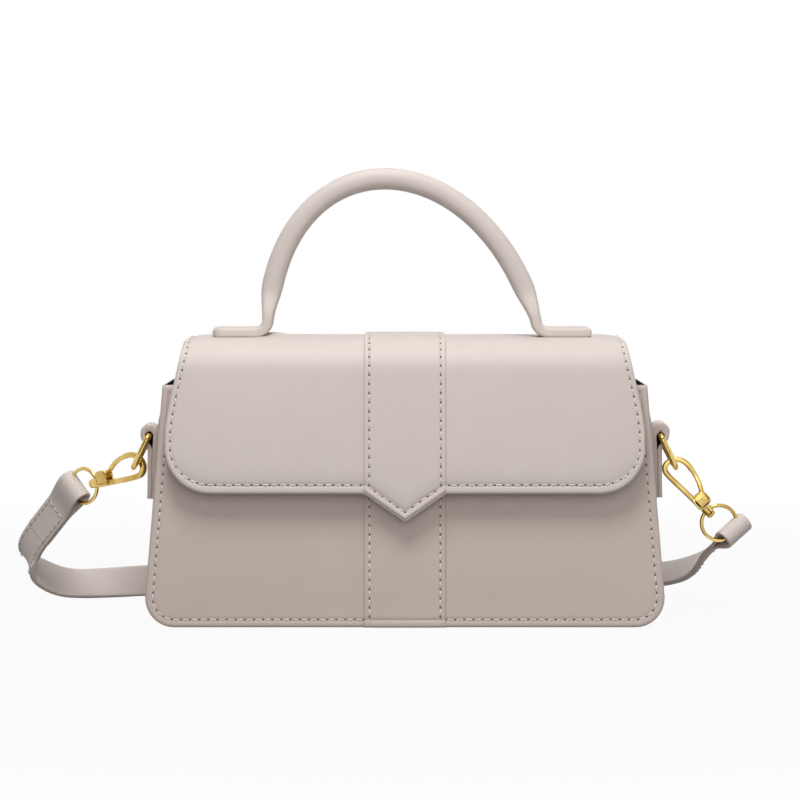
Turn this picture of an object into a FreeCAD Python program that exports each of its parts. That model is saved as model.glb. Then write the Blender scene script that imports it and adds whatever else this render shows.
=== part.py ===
"""Structured flap handbag with a rolled top handle and a clip-on shoulder strap.

Millimetres, +Z up, +X to the right of someone who faces the flap, origin on the floor under the middle.
"""
import FreeCAD, Part
import math
import os

V = FreeCAD.Vector
X_AXIS = V(1, 0, 0)
Y_AXIS = V(0, 1, 0)
Z_AXIS = V(0, 0, 1)

# Body
base_width = 210.0
base_depth = 69.6
rim_width = 198.0
rim_height = 98.0
corner_radius = 12.0
panel_lean = math.radians(6.6)
panel_thickness = 3.0
gusset_thickness = 2.2
board_thickness = 1.8
lining_thickness = 0.8
lining_drop = 1.5
board_clearance = 0.3

# Centre band
band_width = 33.4
band_thickness = 1.2
flap_band_thickness = 1.0

# Flap
flap_top = 116.4
flap_back_width = 178.0
flap_fold_width = 187.0
flap_width = 195.0
flap_fold_radius = 14.0
flap_edge_height = 54.5
flap_corner_radius = 18.5
flap_tip_height = 43.0
flap_leather = 1.6
flap_lining_thickness = 1.0
flap_gap = 2.1
hinge_clearance = 0.3

# Magnetic snap
snap_height = 66.0
magnet_radius = 7.0
body_magnet_recess = 2.2
body_magnet_proud = 0.8
flap_magnet_radius = 6.0
flap_magnet_thickness = 1.0
washer_radius = 8.0
flap_washer_radius = 6.5
washer_thickness = 0.5
snap_stem_radius = 1.5

# Top handle
handle_span = 111.0
handle_shift = -1.2
handle_pole_rise = 80.2
handle_left_inset = 5.3
handle_right_inset = 24.3
handle_diameter = 8.8
handle_core_diameter = 5.0
handle_tab_thickness = 3.0
handle_tab_width = 15.0
handle_tab_length = 18.0
handle_bend_radius = 4.0
handle_flat_length = 20.0
handle_station_count = 15
handle_bend_steps = 4
handle_corner_share = 0.3
handle_round_share = 0.49

# Side tabs and D-rings
tab_width = 13.0
tab_layer = 1.8
tab_stand = 1.3
tab_bottom = 50.0
tab_taper = 10.0
ring_bar_height = 76.2
ring_wire = 2.4
ring_play = 1.0
ring_inner_width = 14.0
ring_reach = 15.5
ring_corner = 2.6
ring_angle = math.radians(26.5)

# Swivel snap hook, in its own frame: u runs from nose to strap, v from spine to gate
hook_wire = 2.4
hook_nose_radius = 2.0
hook_front_angle = math.radians(68.0)
hook_front_length = 2.65
hook_crown_radius = 3.2
hook_tip_slope = math.radians(16.0)
hook_tip_length = 1.6
gate_length = 15.3
gate_gap = 0.3
gate_height = 1.4
gate_width = 1.5
gate_eye_radius = 1.6
gate_pin_radius = 0.6
gate_pin_play = 0.05
pin_head_radius = 1.2
pin_head_depth = 0.4
pin_head_proud = 0.15
block_length = 6.0
block_width = 5.0
block_wall = 0.6
block_round = 0.7
slot_play = 0.12
spring_wire = 0.25
spring_turns = 2
spring_pitch = 0.68
spring_play = 0.15
stem_radius = 1.1
stem_play = 0.1
stem_offset = 1.1
collar_radius = 2.1
collar_length = 3.0
collar_play = 0.2
knob_radius = 1.9
knob_length = 1.6
knob_chamfer = 0.5
eye_wire = 1.6
eye_radius = 7.3
ring_seat_u = 4.2
ring_seat_gap = 1.2
left_clasp_drop = math.radians(13.6)
right_clasp_drop = math.radians(47.0)
left_clasp_yaw = math.radians(-36.5)
right_clasp_yaw = math.radians(0.0)

# Shoulder strap
strap_width = 12.2
strap_thickness = 2.5
loop_layer = 1.5
loop_play = 0.25
loop_seam = 13.0
left_loop_length = 29.0
right_loop_length = 14.0
left_loop_turn = math.radians(-31.4)
right_loop_turn = math.radians(5.0)
left_loop_swing = math.radians(0.0)
right_loop_swing = math.radians(84.0)
strap_lift = 0.8
tie_thickness = 0.5
tie_width = 9.0
tie_play = 0.1
hank_pitch = 5.5
hank_run = 150.0
hank_runs = 5
hank_front = 68.0
bend_share = 0.45
bend_steps = 4

# Route of the strap's free stretches, from each folded end to the folded length behind the bag
loop_lead = 11.0
hank_lead = 17.0
left_points = [(-161.5, 40.0, 13.5), (-157.0, 45.5, 9.0), (-147.5, 49.5, 7.3), (-130.0, 53.5, 7.0),
               (-112.0, 63.0, 7.0)]
left_upright = [0.0, 0.1, 0.45, 0.8, 1.0, 1.0, 1.0, 1.0, 1.0]
right_points = [(134.0, 34.5, 26.5), (129.5, 43.0, 19.5), (121.5, 54.5, 13.0), (112.0, 66.5, 9.0),
                (102.5, 79.0, 7.2)]
right_upright = [0.0, 0.0, 0.15, 0.35, 0.6, 0.85, 1.0, 1.0, 1.0]

# Worked out from the above
lean = math.tan(panel_lean)
flap_thickness = flap_leather + flap_lining_thickness
slant = math.cos(panel_lean)
flap_stack = band_thickness + flap_gap + (flap_thickness + flap_band_thickness) / slant
overhang = max(band_thickness, flap_stack - lean * flap_tip_height)
half_depth = (base_depth + overhang) / 2
front_base = half_depth - base_depth
hinge_z = flap_top - flap_thickness / 2
back_height = hinge_z - flap_thickness / 2 - hinge_clearance
hinge_y = half_depth - lean * back_height - panel_thickness / 2
side_slope = (base_width - rim_width) / 2 / (rim_height - corner_radius)
side_angle = math.atan(side_slope)
board_top = gusset_thickness + board_thickness
reach = 2 * base_width


def line(start, end):
    """Straight edge between two points."""
    return Part.LineSegment(start, end).toShape()


def arc(start, middle, end):
    """Circular edge through three points."""
    return Part.Arc(start, middle, end).toShape()


def face(edges):
    """Planar face inside a closed chain of edges."""
    return Part.Face(Part.Wire(edges))


def polygon(points):
    """Planar face inside a closed run of points."""
    return Part.Face(Part.makePolygon(points + points[:1]))


def on_circle(centre, radius, angle):
    """Point (a, b) of a circle, the angle counted from the first axis towards the second."""
    return centre[0] + radius * math.cos(angle), centre[1] + radius * math.sin(angle)


def export(name, shape):
    """Write one node and say how large it is."""
    shape.exportStep("parts/%s.step" % name)
    print("%-22s solids %d valid %s volume %.1f" % (name, len(shape.Solids), shape.isValid(), shape.Volume))


def side_x(height, inset=0.0):
    """Distance of the gusset's outer face from the middle plane at a height."""
    return base_width / 2 - inset - side_slope * (height - corner_radius)


def body_prism(inset, top, shoulder=None):
    """Front outline of the body, drawn in by inset, carried right through from front to back.

    With shoulder, the sides turn inwards at the rim towards that half width at the top.
    """
    radius = corner_radius - inset
    corner_x = base_width / 2 - corner_radius
    diagonal = radius * math.sqrt(0.5)
    side_top = top if shoulder is None else rim_height
    right = [V(corner_x, -reach, inset),
             V(corner_x + diagonal, -reach, corner_radius - diagonal),
             V(corner_x + radius, -reach, corner_radius),
             V(side_x(side_top, inset), -reach, side_top)]
    left = [V(-p.x, p.y, p.z) for p in right]
    edges = [line(left[0], right[0]), arc(*right[:3]), line(right[2], right[3])]
    if shoulder is None:
        edges.append(line(right[3], left[3]))
    else:
        peak_right = V(shoulder, -reach, top)
        peak_left = V(-shoulder, -reach, top)
        edges += [line(right[3], peak_right), line(peak_right, peak_left), line(peak_left, left[3])]
    edges += [line(left[3], left[2]), arc(left[2], left[1], left[0])]
    return face(edges).extrude(Y_AXIS * (2 * reach))


def front_y(height, inset=0.0):
    """Y of the front panel's outer face at a height, moved inwards by inset."""
    return front_base + inset + lean * height


def back_y(height, inset=0.0):
    """Y of the back panel's outer face at a height, moved inwards by inset."""
    return half_depth - inset - lean * height


def wedge(front, back, bottom, top):
    """Block as long as the bag between two leaning planes, each a function of height."""
    points = [V(-reach, front(bottom), bottom), V(-reach, back(bottom), bottom),
              V(-reach, back(top), top), V(-reach, front(top), top)]
    return polygon(points).extrude(X_AXIS * (2 * reach))


def inside(inset, bottom, top):
    """Wedge between the panels' inner faces, drawn in by inset."""
    depth = panel_thickness + inset
    return wedge(lambda z: front_y(z, depth), lambda z: back_y(z, depth), bottom, top)


def leaning_disc(radius, height, outer, inner):
    """Round disc square to the front panel, between two depths behind its outer face (minus is in front).

    The depths are measured level, as the walls are, so a disc seats on the wall that has its depth.
    """
    along = V(0, slant, -math.sin(panel_lean))
    centre = V(0, front_y(height), height)
    return Part.makeCylinder(radius, (inner - outer) * slant, centre + along * (outer * slant), along)


def make_body():
    """Panels, gusset, board, lining, band and the lower half of the snap."""
    panel_front = wedge(front_y, lambda z: front_y(z, panel_thickness), 0, rim_height)
    panel_back = wedge(lambda z: back_y(z, panel_thickness), back_y, 0, back_height)
    band_slab = wedge(lambda z: front_y(z, -band_thickness), front_y, 0, rim_height)
    band_box = Part.makeBox(band_width, 2 * reach, 2 * reach, V(-band_width / 2, -reach, -reach))

    magnet = leaning_disc(magnet_radius, snap_height, -band_thickness - body_magnet_proud, body_magnet_recess)
    washer_seat = panel_thickness - washer_thickness
    stem = leaning_disc(snap_stem_radius, snap_height, body_magnet_recess, washer_seat)
    washer = leaning_disc(washer_radius, snap_height, washer_seat, washer_seat + washer_thickness)
    pocket = leaning_disc(washer_radius, snap_height, washer_seat, panel_thickness)
    magnet = magnet.fuse(stem).removeSplitter()

    front = body_prism(0, rim_height).common(panel_front).cut(magnet).cut(pocket)
    back = body_prism(0, back_height, flap_back_width / 2).common(panel_back)
    strip = body_prism(0, rim_height).cut(body_prism(gusset_thickness, rim_height))
    gusset = strip.common(inside(0, 0, rim_height))
    lining_top = rim_height - lining_drop
    bag = body_prism(gusset_thickness, lining_top).common(inside(0, board_top, lining_top))
    hollow_inset = gusset_thickness + lining_thickness
    hollow = body_prism(hollow_inset, lining_top).common(
        inside(lining_thickness, board_top + lining_thickness, lining_top))
    board_length = base_width - 2 * corner_radius
    board_front = front_y(board_top, panel_thickness) + board_clearance
    board_back = back_y(board_top, panel_thickness) - board_clearance
    board = Part.makeBox(board_length, board_back - board_front, board_thickness,
                         V(-board_length / 2, board_front, gusset_thickness))

    export("front_panel", front)
    export("back_panel", back)
    export("gusset", gusset)
    export("base_board", board)
    export("lining", bag.cut(hollow))
    export("front_band", band_slab.common(band_box).cut(magnet))
    export("body_magnet", magnet)
    export("body_magnet_washer", washer)


def flap_prism(half_width=None):
    """Front outline of the flap carried right through from front to back, open above the flap's top.

    With half_width, only the centre band of that half width; its lower end is the V point.
    """
    above = flap_top + reach
    band = band_width / 2
    edge = flap_edge_height
    tip = V(0, -reach, flap_tip_height)
    if half_width is not None:
        points = [V(half_width, -reach, above), V(half_width, -reach, edge), tip,
                  V(-half_width, -reach, edge), V(-half_width, -reach, above)]
        return polygon(points).extrude(Y_AXIS * (2 * reach))
    corner_x = flap_width / 2 - flap_corner_radius
    corner_z = edge + flap_corner_radius
    diagonal = flap_corner_radius * math.sqrt(0.5)
    right = [V(flap_back_width / 2, -reach, above),
             V(flap_back_width / 2, -reach, flap_top - flap_thickness),
             V(flap_fold_width / 2, -reach, flap_top - flap_fold_radius),
             V(flap_width / 2, -reach, corner_z),
             V(corner_x + diagonal, -reach, corner_z - diagonal),
             V(corner_x, -reach, edge),
             V(band, -reach, edge)]
    left = [V(-p.x, p.y, p.z) for p in right]
    edges = []
    for side in (right, left):
        edges += [line(side[0], side[1]), line(side[1], side[2]), line(side[2], side[3]),
                  arc(side[3], side[4], side[5]), line(side[5], side[6]), line(side[6], tip)]
    edges.append(line(left[0], right[0]))
    return face(Part.__sortEdges__(edges)).extrude(Y_AXIS * (2 * reach))


def flap_section(outer, inner, back):
    """Side section of a flap layer between two depths under its outer skin, from y = back to the tip.

    The skin runs level from the hinge, turns over the front fold and hangs parallel to the front panel.
    """
    skin = front_base - flap_stack + flap_band_thickness / slant
    fold_z = flap_top - flap_fold_radius
    fold_y = skin + lean * fold_z + flap_fold_radius / slant
    turn = math.pi - panel_lean
    end_z = flap_tip_height - flap_fold_radius

    def rail(depth):
        radius = flap_fold_radius - depth
        centre = (fold_y, fold_z)
        front = on_circle(centre, radius, turn)
        crown = on_circle(centre, radius, (turn + math.pi / 2) / 2)
        hem = (front[0] - lean * (front[1] - end_z), end_z)
        return [V(-reach, y, z) for y, z in ((back, flap_top - depth), (fold_y, flap_top - depth),
                                             crown, front, hem)]

    a = rail(outer)
    b = rail(inner)
    edges = [line(a[0], a[1]), arc(a[1], a[2], a[3]), line(a[3], a[4]), line(a[4], b[4]),
             line(b[4], b[3]), arc(b[3], b[2], b[1]), line(b[1], b[0]), line(b[0], a[0])]
    return face(edges).extrude(X_AXIS * (2 * reach))


def make_flap():
    """Flap leather, its lining and band, and the upper half of the snap."""
    nose = Part.makeCylinder(flap_thickness / 2, 2 * reach, V(-reach, hinge_y, hinge_z), X_AXIS)
    whole = flap_section(0, flap_thickness, hinge_y).fuse(nose).common(flap_prism())
    leather_zone = flap_section(-flap_leather, flap_leather, reach)
    leather = whole.common(leather_zone)
    cloth = whole.cut(leather_zone)
    band = flap_section(-flap_band_thickness, 0, hinge_y)
    band = band.common(flap_prism(band_width / 2))

    cloth_front = -band_thickness - flap_gap
    leather_front = cloth_front - flap_lining_thickness / slant
    disc = leaning_disc(flap_magnet_radius, snap_height, cloth_front, cloth_front + flap_magnet_thickness)
    stem = leaning_disc(snap_stem_radius, snap_height, leather_front, cloth_front)
    magnet = disc.fuse(stem).removeSplitter()
    washer = leaning_disc(flap_washer_radius, snap_height, leather_front - washer_thickness, leather_front)

    export("flap_outer", leather.cut(washer))
    export("flap_lining", cloth.cut(magnet))
    export("flap_band", band)
    export("flap_magnet", magnet)
    export("flap_magnet_washer", washer)


def rounded_section(centre, normal, thickness, width, corner):
    """Closed wire of four sides and four corner arcs: thickness along normal, width along Y."""
    half_t = thickness / 2
    half_w = width / 2
    bend = corner * (1 - math.sqrt(0.5))
    quarter = [(half_t - corner, half_w), (half_t - bend, half_w - bend), (half_t, half_w - corner)]
    ring = []
    for sign_t, sign_w in ((1, 1), (1, -1), (-1, -1), (-1, 1)):
        points = [centre + normal * (sign_t * t) + Y_AXIS * (sign_w * w) for t, w in quarter]
        ring.append(points if sign_t * sign_w > 0 else points[::-1])
    edges = []
    for index, corner_points in enumerate(ring):
        edges.append(arc(*corner_points))
        edges.append(line(corner_points[2], ring[(index + 1) % 4][0]))
    return Part.Wire(edges)


def handle_line():
    """Bezier curve of the handle's middle line above its bends; the arch leans a little to the left."""
    foot = flap_top + handle_tab_thickness / 2 + handle_bend_radius
    peak = foot + handle_pole_rise
    left = handle_shift - handle_span / 2
    right = handle_shift + handle_span / 2
    curve = Part.BezierCurve()
    curve.setPoles([V(left, 0, foot), V(left + handle_left_inset, 0, peak),
                    V(right - handle_right_inset, 0, peak), V(right, 0, foot)])
    return curve


def handle_station(curve, share, thickness, width, corner):
    """Section square to the handle's line at a share of its length."""
    tangent = curve.tangent(share)[0]
    return rounded_section(curve.value(share), V(-tangent.z, 0, tangent.x), thickness, width, corner)


def handle_foot(side):
    """Sections of one sewn end, from its outer end round the bend to the arch."""
    tab_z = flap_top + handle_tab_thickness / 2
    bend_x = handle_span / 2 + handle_bend_radius
    corner = handle_tab_thickness * handle_corner_share
    rows = [(V(handle_shift + side * (bend_x + handle_tab_length), 0, tab_z), Z_AXIS)]
    for step in range(handle_bend_steps):
        angle = math.pi / 2 * step / handle_bend_steps
        inward = handle_bend_radius * math.sin(angle)
        rise = handle_bend_radius * (1 - math.cos(angle))
        centre = V(handle_shift + side * (bend_x - inward), 0, tab_z + rise)
        rows.append((centre, V(side * math.sin(angle), 0, math.cos(angle))))
    return [rounded_section(centre, normal, handle_tab_thickness, handle_tab_width, corner)
            for centre, normal in rows]


def handle_arch(curve):
    """Sections of the arch, flat at its feet and round above handle_flat_length."""
    flat_corner = handle_tab_thickness * handle_corner_share
    sections = []
    for index in range(handle_station_count):
        share = index / (handle_station_count - 1)
        rise = curve.value(share).z - curve.value(0).z
        swell = min(1.0, rise / handle_flat_length)
        thickness = handle_tab_thickness + swell * (handle_diameter - handle_tab_thickness)
        width = handle_tab_width + swell * (handle_diameter - handle_tab_width)
        corner = flat_corner + swell * (handle_diameter * handle_round_share - flat_corner)
        sections.append(handle_station(curve, share, thickness, width, corner))
    return sections


def handle_core(curve):
    """Sections of the filler cord where the handle is round."""
    corner = handle_core_diameter * handle_round_share
    shares = [index / (handle_station_count - 1) for index in range(handle_station_count)]
    foot = curve.value(0).z
    return [handle_station(curve, share, handle_core_diameter, handle_core_diameter, corner)
            for share in shares if curve.value(share).z - foot >= handle_flat_length]


def loft(sections):
    """Closed solid ruled from section to section."""
    return Part.makeLoft(sections, True, True)


def make_handle():
    """Rolled leather handle with its filler cord."""
    curve = handle_line()
    core = loft(handle_core(curve))
    wrap = loft(handle_foot(-1) + handle_arch(curve) + handle_foot(1)[::-1])
    export("handle_wrap", wrap.cut(core))
    export("handle_core", core)


def tangent_point(radius, outside):
    """Point on the +a side of a circle about the origin where the line from an outside point touches."""
    distance = math.hypot(*outside)
    swing = math.atan2(outside[1], outside[0]) + math.acos(radius / distance)
    return on_circle((0, 0), radius, swing)


def folded_loop(hole, layer, taper, length, width, stand=None):
    """Strip folded round a hole about Y at the origin, its two layers sewn together below.

    The layers hang along -Z and meet where the taper ends. With a stand, the -X layer is straight and
    that much thicker below the fold.
    """
    outer = hole + layer
    heel = layer if stand is None else -outer + 2 * layer
    touch_x, touch_z = tangent_point(outer, (heel, -taper))
    right = [V(touch_x, 0, touch_z), V(heel, 0, -taper), V(heel, 0, -length)]
    if stand is None:
        left = [V(-p.x, p.y, p.z) for p in right]
    else:
        left = [V(-outer, 0, 0), V(-outer - stand, 0, -stand), V(-outer - stand, 0, -length)]
    edges = [arc(left[0], V(0, 0, outer), right[0])]
    chain = right + left[::-1]
    edges += [line(a, b) for a, b in zip(chain, chain[1:])]
    strip = face(edges).extrude(Y_AXIS * width)
    strip.translate(Y_AXIS * (-width / 2))
    return strip.cut(Part.makeCylinder(hole, 2 * width, V(0, -width, 0), Y_AXIS))


def frame(origin, x_axis, z_axis):
    """Placement whose local X and Z run along the given directions."""
    x_axis = V(x_axis).normalize()
    z_axis = V(z_axis).normalize()
    y_axis = z_axis.cross(x_axis)
    matrix = FreeCAD.Matrix(x_axis.x, y_axis.x, z_axis.x, origin.x,
                            x_axis.y, y_axis.y, z_axis.y, origin.y,
                            x_axis.z, y_axis.z, z_axis.z, origin.z,
                            0, 0, 0, 1)
    return FreeCAD.Placement(matrix)


def placed(shape, placement):
    """Copy of a shape moved from its own frame to the bag's."""
    copy = shape.copy()
    copy.Placement = placement.multiply(copy.Placement)
    return copy


def bent_wire(edges, start, direction, radius):
    """Round wire of a radius along a chain of tangent edges."""
    profile = Part.Wire(Part.makeCircle(radius, start, direction))
    return Part.Wire(edges).makePipeShell([profile], True, False)


def hook_arc(centre, radius, start, end):
    """Three points of an arc in the hook's own plane."""
    spots = [on_circle(centre, radius, angle) for angle in (start, (start + end) / 2, end)]
    return [V(u, 0, v) for u, v in spots]


class Side:
    """Fittings at one end of the bag: side is -1 at the left and +1 at the right."""

    def __init__(self, side, name, drop, yaw):
        self.name = name
        self.side = side
        hole = ring_wire / 2 + ring_play
        stand = hole + tab_layer + tab_stand
        out = V(side * math.cos(side_angle), 0, math.sin(side_angle))
        up = V(-side * math.sin(side_angle), 0, math.cos(side_angle))
        foot_z = ring_bar_height - out.z * stand
        self.bar = V(side * side_x(foot_z), 0, foot_z) + out * stand
        self.tab_hole = hole
        self.tab_place = frame(self.bar, out, up)
        self.ring_down = V(side * math.sin(ring_angle), 0, -math.cos(ring_angle))
        ring_face = V(side * math.cos(ring_angle), 0, math.sin(ring_angle))
        self.ring_place = frame(self.bar, ring_face, self.ring_down * -1)
        turn = FreeCAD.Rotation(Z_AXIS, math.degrees(yaw))
        along = turn.multVec(V(side * math.cos(drop), 0, -math.sin(drop)))
        across = turn.multVec(V(side * math.sin(drop), 0, math.cos(drop)))
        seat = V(ring_seat_u, 0, hook_wire / 2 + ring_seat_gap + ring_wire / 2)
        caught = self.bar + self.ring_down * ring_reach
        self.clasp_place = frame(V(0, 0, 0), along, across)
        self.clasp_place.Base = caught - self.clasp_place.multVec(seat)

    def make_tab(self):
        """Folded leather tab on the gusset."""
        length = (ring_bar_height - tab_bottom) / math.cos(side_angle)
        tab = folded_loop(self.tab_hole, tab_layer, tab_taper, length, tab_width, tab_stand)
        export(self.name + "_side_tab", placed(tab, self.tab_place))

    def make_ring(self):
        """D-ring: straight bar in the tab's loop, two short sides and a half round."""
        half = (ring_inner_width + ring_wire) / 2
        bend = ring_corner * (1 - math.sqrt(0.5))
        side_z = -(ring_reach - half)
        right = [V(0, half - ring_corner, 0), V(0, half - bend, -bend),
                 V(0, half, -ring_corner), V(0, half, side_z)]
        left = [V(p.x, -p.y, p.z) for p in right]
        edges = [line(left[0], right[0]), arc(*right[:3]), line(right[2], right[3]),
                 arc(right[3], V(0, 0, -ring_reach), left[3]), line(left[3], left[2]),
                 arc(left[2], left[1], left[0])]
        ring = bent_wire(edges, left[0], Y_AXIS, ring_wire / 2)
        export(self.name + "_d_ring", placed(ring, self.ring_place))

    def make_hook(self):
        """Snap hook: bow, spine, slotted block, stem and peened knob, with its gate, pin and spring."""
        radius = hook_wire / 2
        square = math.pi / 2
        centre = (hook_nose_radius, hook_nose_radius)
        nose = hook_arc(centre, hook_nose_radius, -square, hook_front_angle + square - 2 * math.pi)
        rise = nose[2] + V(math.cos(hook_front_angle), 0, math.sin(hook_front_angle)) * hook_front_length
        centre = (rise.x + hook_crown_radius * math.sin(hook_front_angle),
                  rise.z - hook_crown_radius * math.cos(hook_front_angle))
        crown = hook_arc(centre, hook_crown_radius, hook_front_angle + square, square - hook_tip_slope)
        slope = V(math.cos(hook_tip_slope), 0, -math.sin(hook_tip_slope))
        tip = crown[2] + slope * hook_tip_length
        gate_end = tip + slope * gate_gap
        pivot = gate_end + slope * gate_length
        block_start = pivot.x - block_length / 2
        block_end = pivot.x + block_length / 2
        spine = V(block_start + radius, 0, 0)
        wire = bent_wire([line(spine, nose[0]), arc(*nose), line(nose[2], rise), arc(*crown),
                          line(crown[2], tip)], spine, X_AXIS, radius)

        block_top = pivot.z + gate_eye_radius + block_wall
        block = Part.makeBox(block_length, block_width, block_top + radius,
                             V(block_start, -block_width / 2, -radius))
        block = block.makeFillet(block_round, block.Edges)
        spring_space = spring_turns * spring_pitch + spring_wire + slot_play
        slot = gate_width + spring_space + 2 * slot_play
        slot_floor = pivot.z - gate_eye_radius - slot_play
        gate_middle = -(slot - gate_width) / 2 + slot_play
        notch = Part.makeBox(block_length / 2 + gate_eye_radius + slot_play, slot, reach,
                             V(block_start, -slot / 2, slot_floor))
        stem_length = collar_length + 2 * collar_play
        stem_start = V(block_end - block_round, 0, stem_offset)
        stem = Part.makeCylinder(stem_radius, stem_length + block_round, stem_start, X_AXIS)
        knob = Part.makeCylinder(knob_radius, knob_length, V(block_end + stem_length, 0, stem_offset),
                                 X_AXIS)
        knob = knob.makeChamfer(knob_chamfer, knob.Edges)
        pin = Part.makeCylinder(gate_pin_radius, block_width, pivot - Y_AXIS * (block_width / 2), Y_AXIS)
        for way in (-1, 1):
            rivet = pivot + Y_AXIS * (way * (block_width / 2 + pin_head_proud))
            pin = pin.fuse(Part.makeCylinder(pin_head_radius, pin_head_depth, rivet, Y_AXIS * -way))
        pin = pin.removeSplitter()
        hook = wire.fuse([block, stem, knob]).cut(notch).cut(pin).removeSplitter()

        lever = Part.makeBox(gate_length, gate_width, gate_height,
                             V(-gate_length, -gate_width / 2, -gate_height / 2))
        eye = Part.makeCylinder(gate_eye_radius, gate_width, V(0, -gate_width / 2, 0), Y_AXIS)
        bore = Part.makeCylinder(gate_pin_radius + gate_pin_play, reach, V(0, -reach / 2, 0), Y_AXIS)
        gate = lever.fuse(eye).cut(bore).removeSplitter()
        gate_place = frame(pivot + Y_AXIS * gate_middle, slope, Y_AXIS.cross(slope) * -1)
        gate = placed(gate, gate_place)

        coil_radius = gate_pin_radius + spring_play + spring_wire / 2
        coil = spring_coil(coil_radius)
        coil_start = gate_middle + gate_width / 2 + slot_play + spring_wire / 2
        coil = placed(coil, frame(pivot + Y_AXIS * coil_start, X_AXIS, Y_AXIS))

        collar_start = block_end + collar_play
        collar = Part.makeCylinder(collar_radius, collar_length, V(collar_start, 0, stem_offset), X_AXIS)
        self.eye_centre = V(collar_start + collar_length / 2 + eye_radius, 0, stem_offset)
        eye_ring = Part.makeTorus(eye_radius, eye_wire / 2, self.eye_centre, Y_AXIS)
        stem_bore = Part.makeCylinder(stem_radius + stem_play, reach, V(0, 0, stem_offset), X_AXIS)
        inner = Part.makeCylinder(collar_radius, reach, V(collar_start + collar_length, 0, stem_offset), X_AXIS)
        near_half = Part.makeBox(self.eye_centre.x, reach, reach, V(0, -reach / 2, -reach / 2))
        eye_ring = eye_ring.cut(inner.common(near_half)).fuse(collar).cut(stem_bore.common(near_half))

        export(self.name + "_hook_body", placed(hook, self.clasp_place))
        export(self.name + "_gate_lever", placed(gate, self.clasp_place))
        export(self.name + "_gate_pin", placed(pin, self.clasp_place))
        export(self.name + "_gate_spring", placed(coil, self.clasp_place))
        export(self.name + "_swivel_eye", placed(eye_ring.removeSplitter(), self.clasp_place))
        self.pivot = self.clasp_place.multVec(pivot)
        print(self.name, "bar", self.bar, "swivel axis", self.clasp_place.Rotation.multVec(X_AXIS),
              "through", self.clasp_place.multVec(self.eye_centre), "gate pivot", self.pivot,
              "gate axis", self.clasp_place.Rotation.multVec(Y_AXIS))

    def make_loop(self, turn, swing, length):
        """End of the strap folded round the half of the eye that turn points at.

        turn counts from the clasp's own line towards the gate side, swing from there out of the eye's plane.
        """
        eye_outer = eye_radius + eye_wire / 2
        eye_chord = math.sqrt((eye_radius - eye_wire / 2) ** 2 - (strap_width / 2) ** 2)
        hole = (eye_outer - eye_chord) / 2 + loop_play
        spot = (eye_outer + eye_chord) / 2
        radial = V(math.cos(turn), 0, math.sin(turn))
        tangent = V(-math.sin(turn), 0, math.cos(turn))
        away = radial * math.cos(swing) + Y_AXIS * math.sin(swing)
        place = frame(self.eye_centre + radial * spot, tangent.cross(away * -1), away * -1)
        loop = folded_loop(hole, loop_layer, loop_seam, length, strap_width)
        place = self.clasp_place.multiply(place)
        export(self.name + "_strap_loop", placed(loop, place))
        self.loop_end = place.multVec(V(0, 0, -length))
        self.loop_away = place.Rotation.multVec(V(0, 0, -1))
        self.loop_across = place.Rotation.multVec(Y_AXIS)
        print(self.name, "loop end", self.loop_end, "away", self.loop_away, "across", self.loop_across)

    def lead(self):
        """First two points of the strap's free stretch, straight out of its folded end."""
        return [self.loop_end, self.loop_end + self.loop_away * loop_lead]


def spring_coil(radius):
    """Coil about Z of spring_turns turns, each four quarter arcs that climb evenly."""
    quarters = 4 * spring_turns
    points = []
    for step in range(2 * quarters + 1):
        angle = math.pi / 4 * step
        climb = spring_pitch * angle / (2 * math.pi)
        points.append(V(radius * math.cos(angle), radius * math.sin(angle), climb))
    edges = [arc(*points[2 * q:2 * q + 3]) for q in range(quarters)]
    print("spring gap %.2f" % (spring_pitch - spring_wire))
    return bent_wire(edges, points[0], edges[0].tangentAt(edges[0].FirstParameter), spring_wire / 2)


def strap_section(centre, tangent, across):
    """Rectangular section of the strap, its width along across as far as the tangent lets it."""
    wide = (across - tangent * across.dot(tangent)).normalize() * (strap_width / 2)
    thick = tangent.cross(wide).normalize() * (strap_thickness / 2)
    corners = [centre + wide + thick, centre + wide - thick, centre - wide - thick, centre - wide + thick]
    return Part.makePolygon(corners + corners[:1])


def bend_stations(before, corner, after):
    """Points and tangents round one corner of a route, on the largest arc that its two runs allow."""
    arrive = corner - before
    leave = after - corner
    shorter = min(arrive.Length, leave.Length)
    arrive.normalize()
    leave.normalize()
    turn = arrive.getAngle(leave)
    setback = bend_share * shorter
    radius = setback / math.tan(turn / 2)
    inward = (leave - arrive * math.cos(turn)).normalize()
    centre = corner - arrive * setback + inward * radius
    stations = []
    for step in range(bend_steps + 1):
        angle = turn * step / bend_steps
        point = centre - inward * (radius * math.cos(angle)) + arrive * (radius * math.sin(angle))
        stations.append((point, arrive * math.cos(angle) + inward * math.sin(angle)))
    return stations, radius, radius * turn, setback


def strap_run(name, route, upright, across):
    """Free stretch of strap along a route of straight runs and tangent arcs.

    upright gives, at each point, how far the width has turned from across to standing on edge.
    """
    sections = []
    length = 0.0
    radii = []
    held = 0.0
    for index, corner in enumerate(route):
        wide = across * (1 - upright[index]) + Z_AXIS * upright[index]
        if index in (0, len(route) - 1):
            neighbour = route[1] if index == 0 else route[-2]
            tangent = (neighbour - corner if index == 0 else corner - neighbour).normalize()
            stations = [(corner, tangent)]
            setback = 0.0
        else:
            stations, radius, bend, setback = bend_stations(route[index - 1], corner, route[index + 1])
            radii.append(radius)
            length += bend
        if index:
            length += (corner - route[index - 1]).Length - setback - held
        held = setback
        sections += [strap_section(point, tangent, wide) for point, tangent in stations]
    solid = loft(sections)
    share = solid.Volume / (length * strap_width * strap_thickness)
    print(name, "length %.1f" % length, "radii", ["%.1f" % r for r in radii], "volume share %.3f" % share)
    export(name, solid)
    return length


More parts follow.
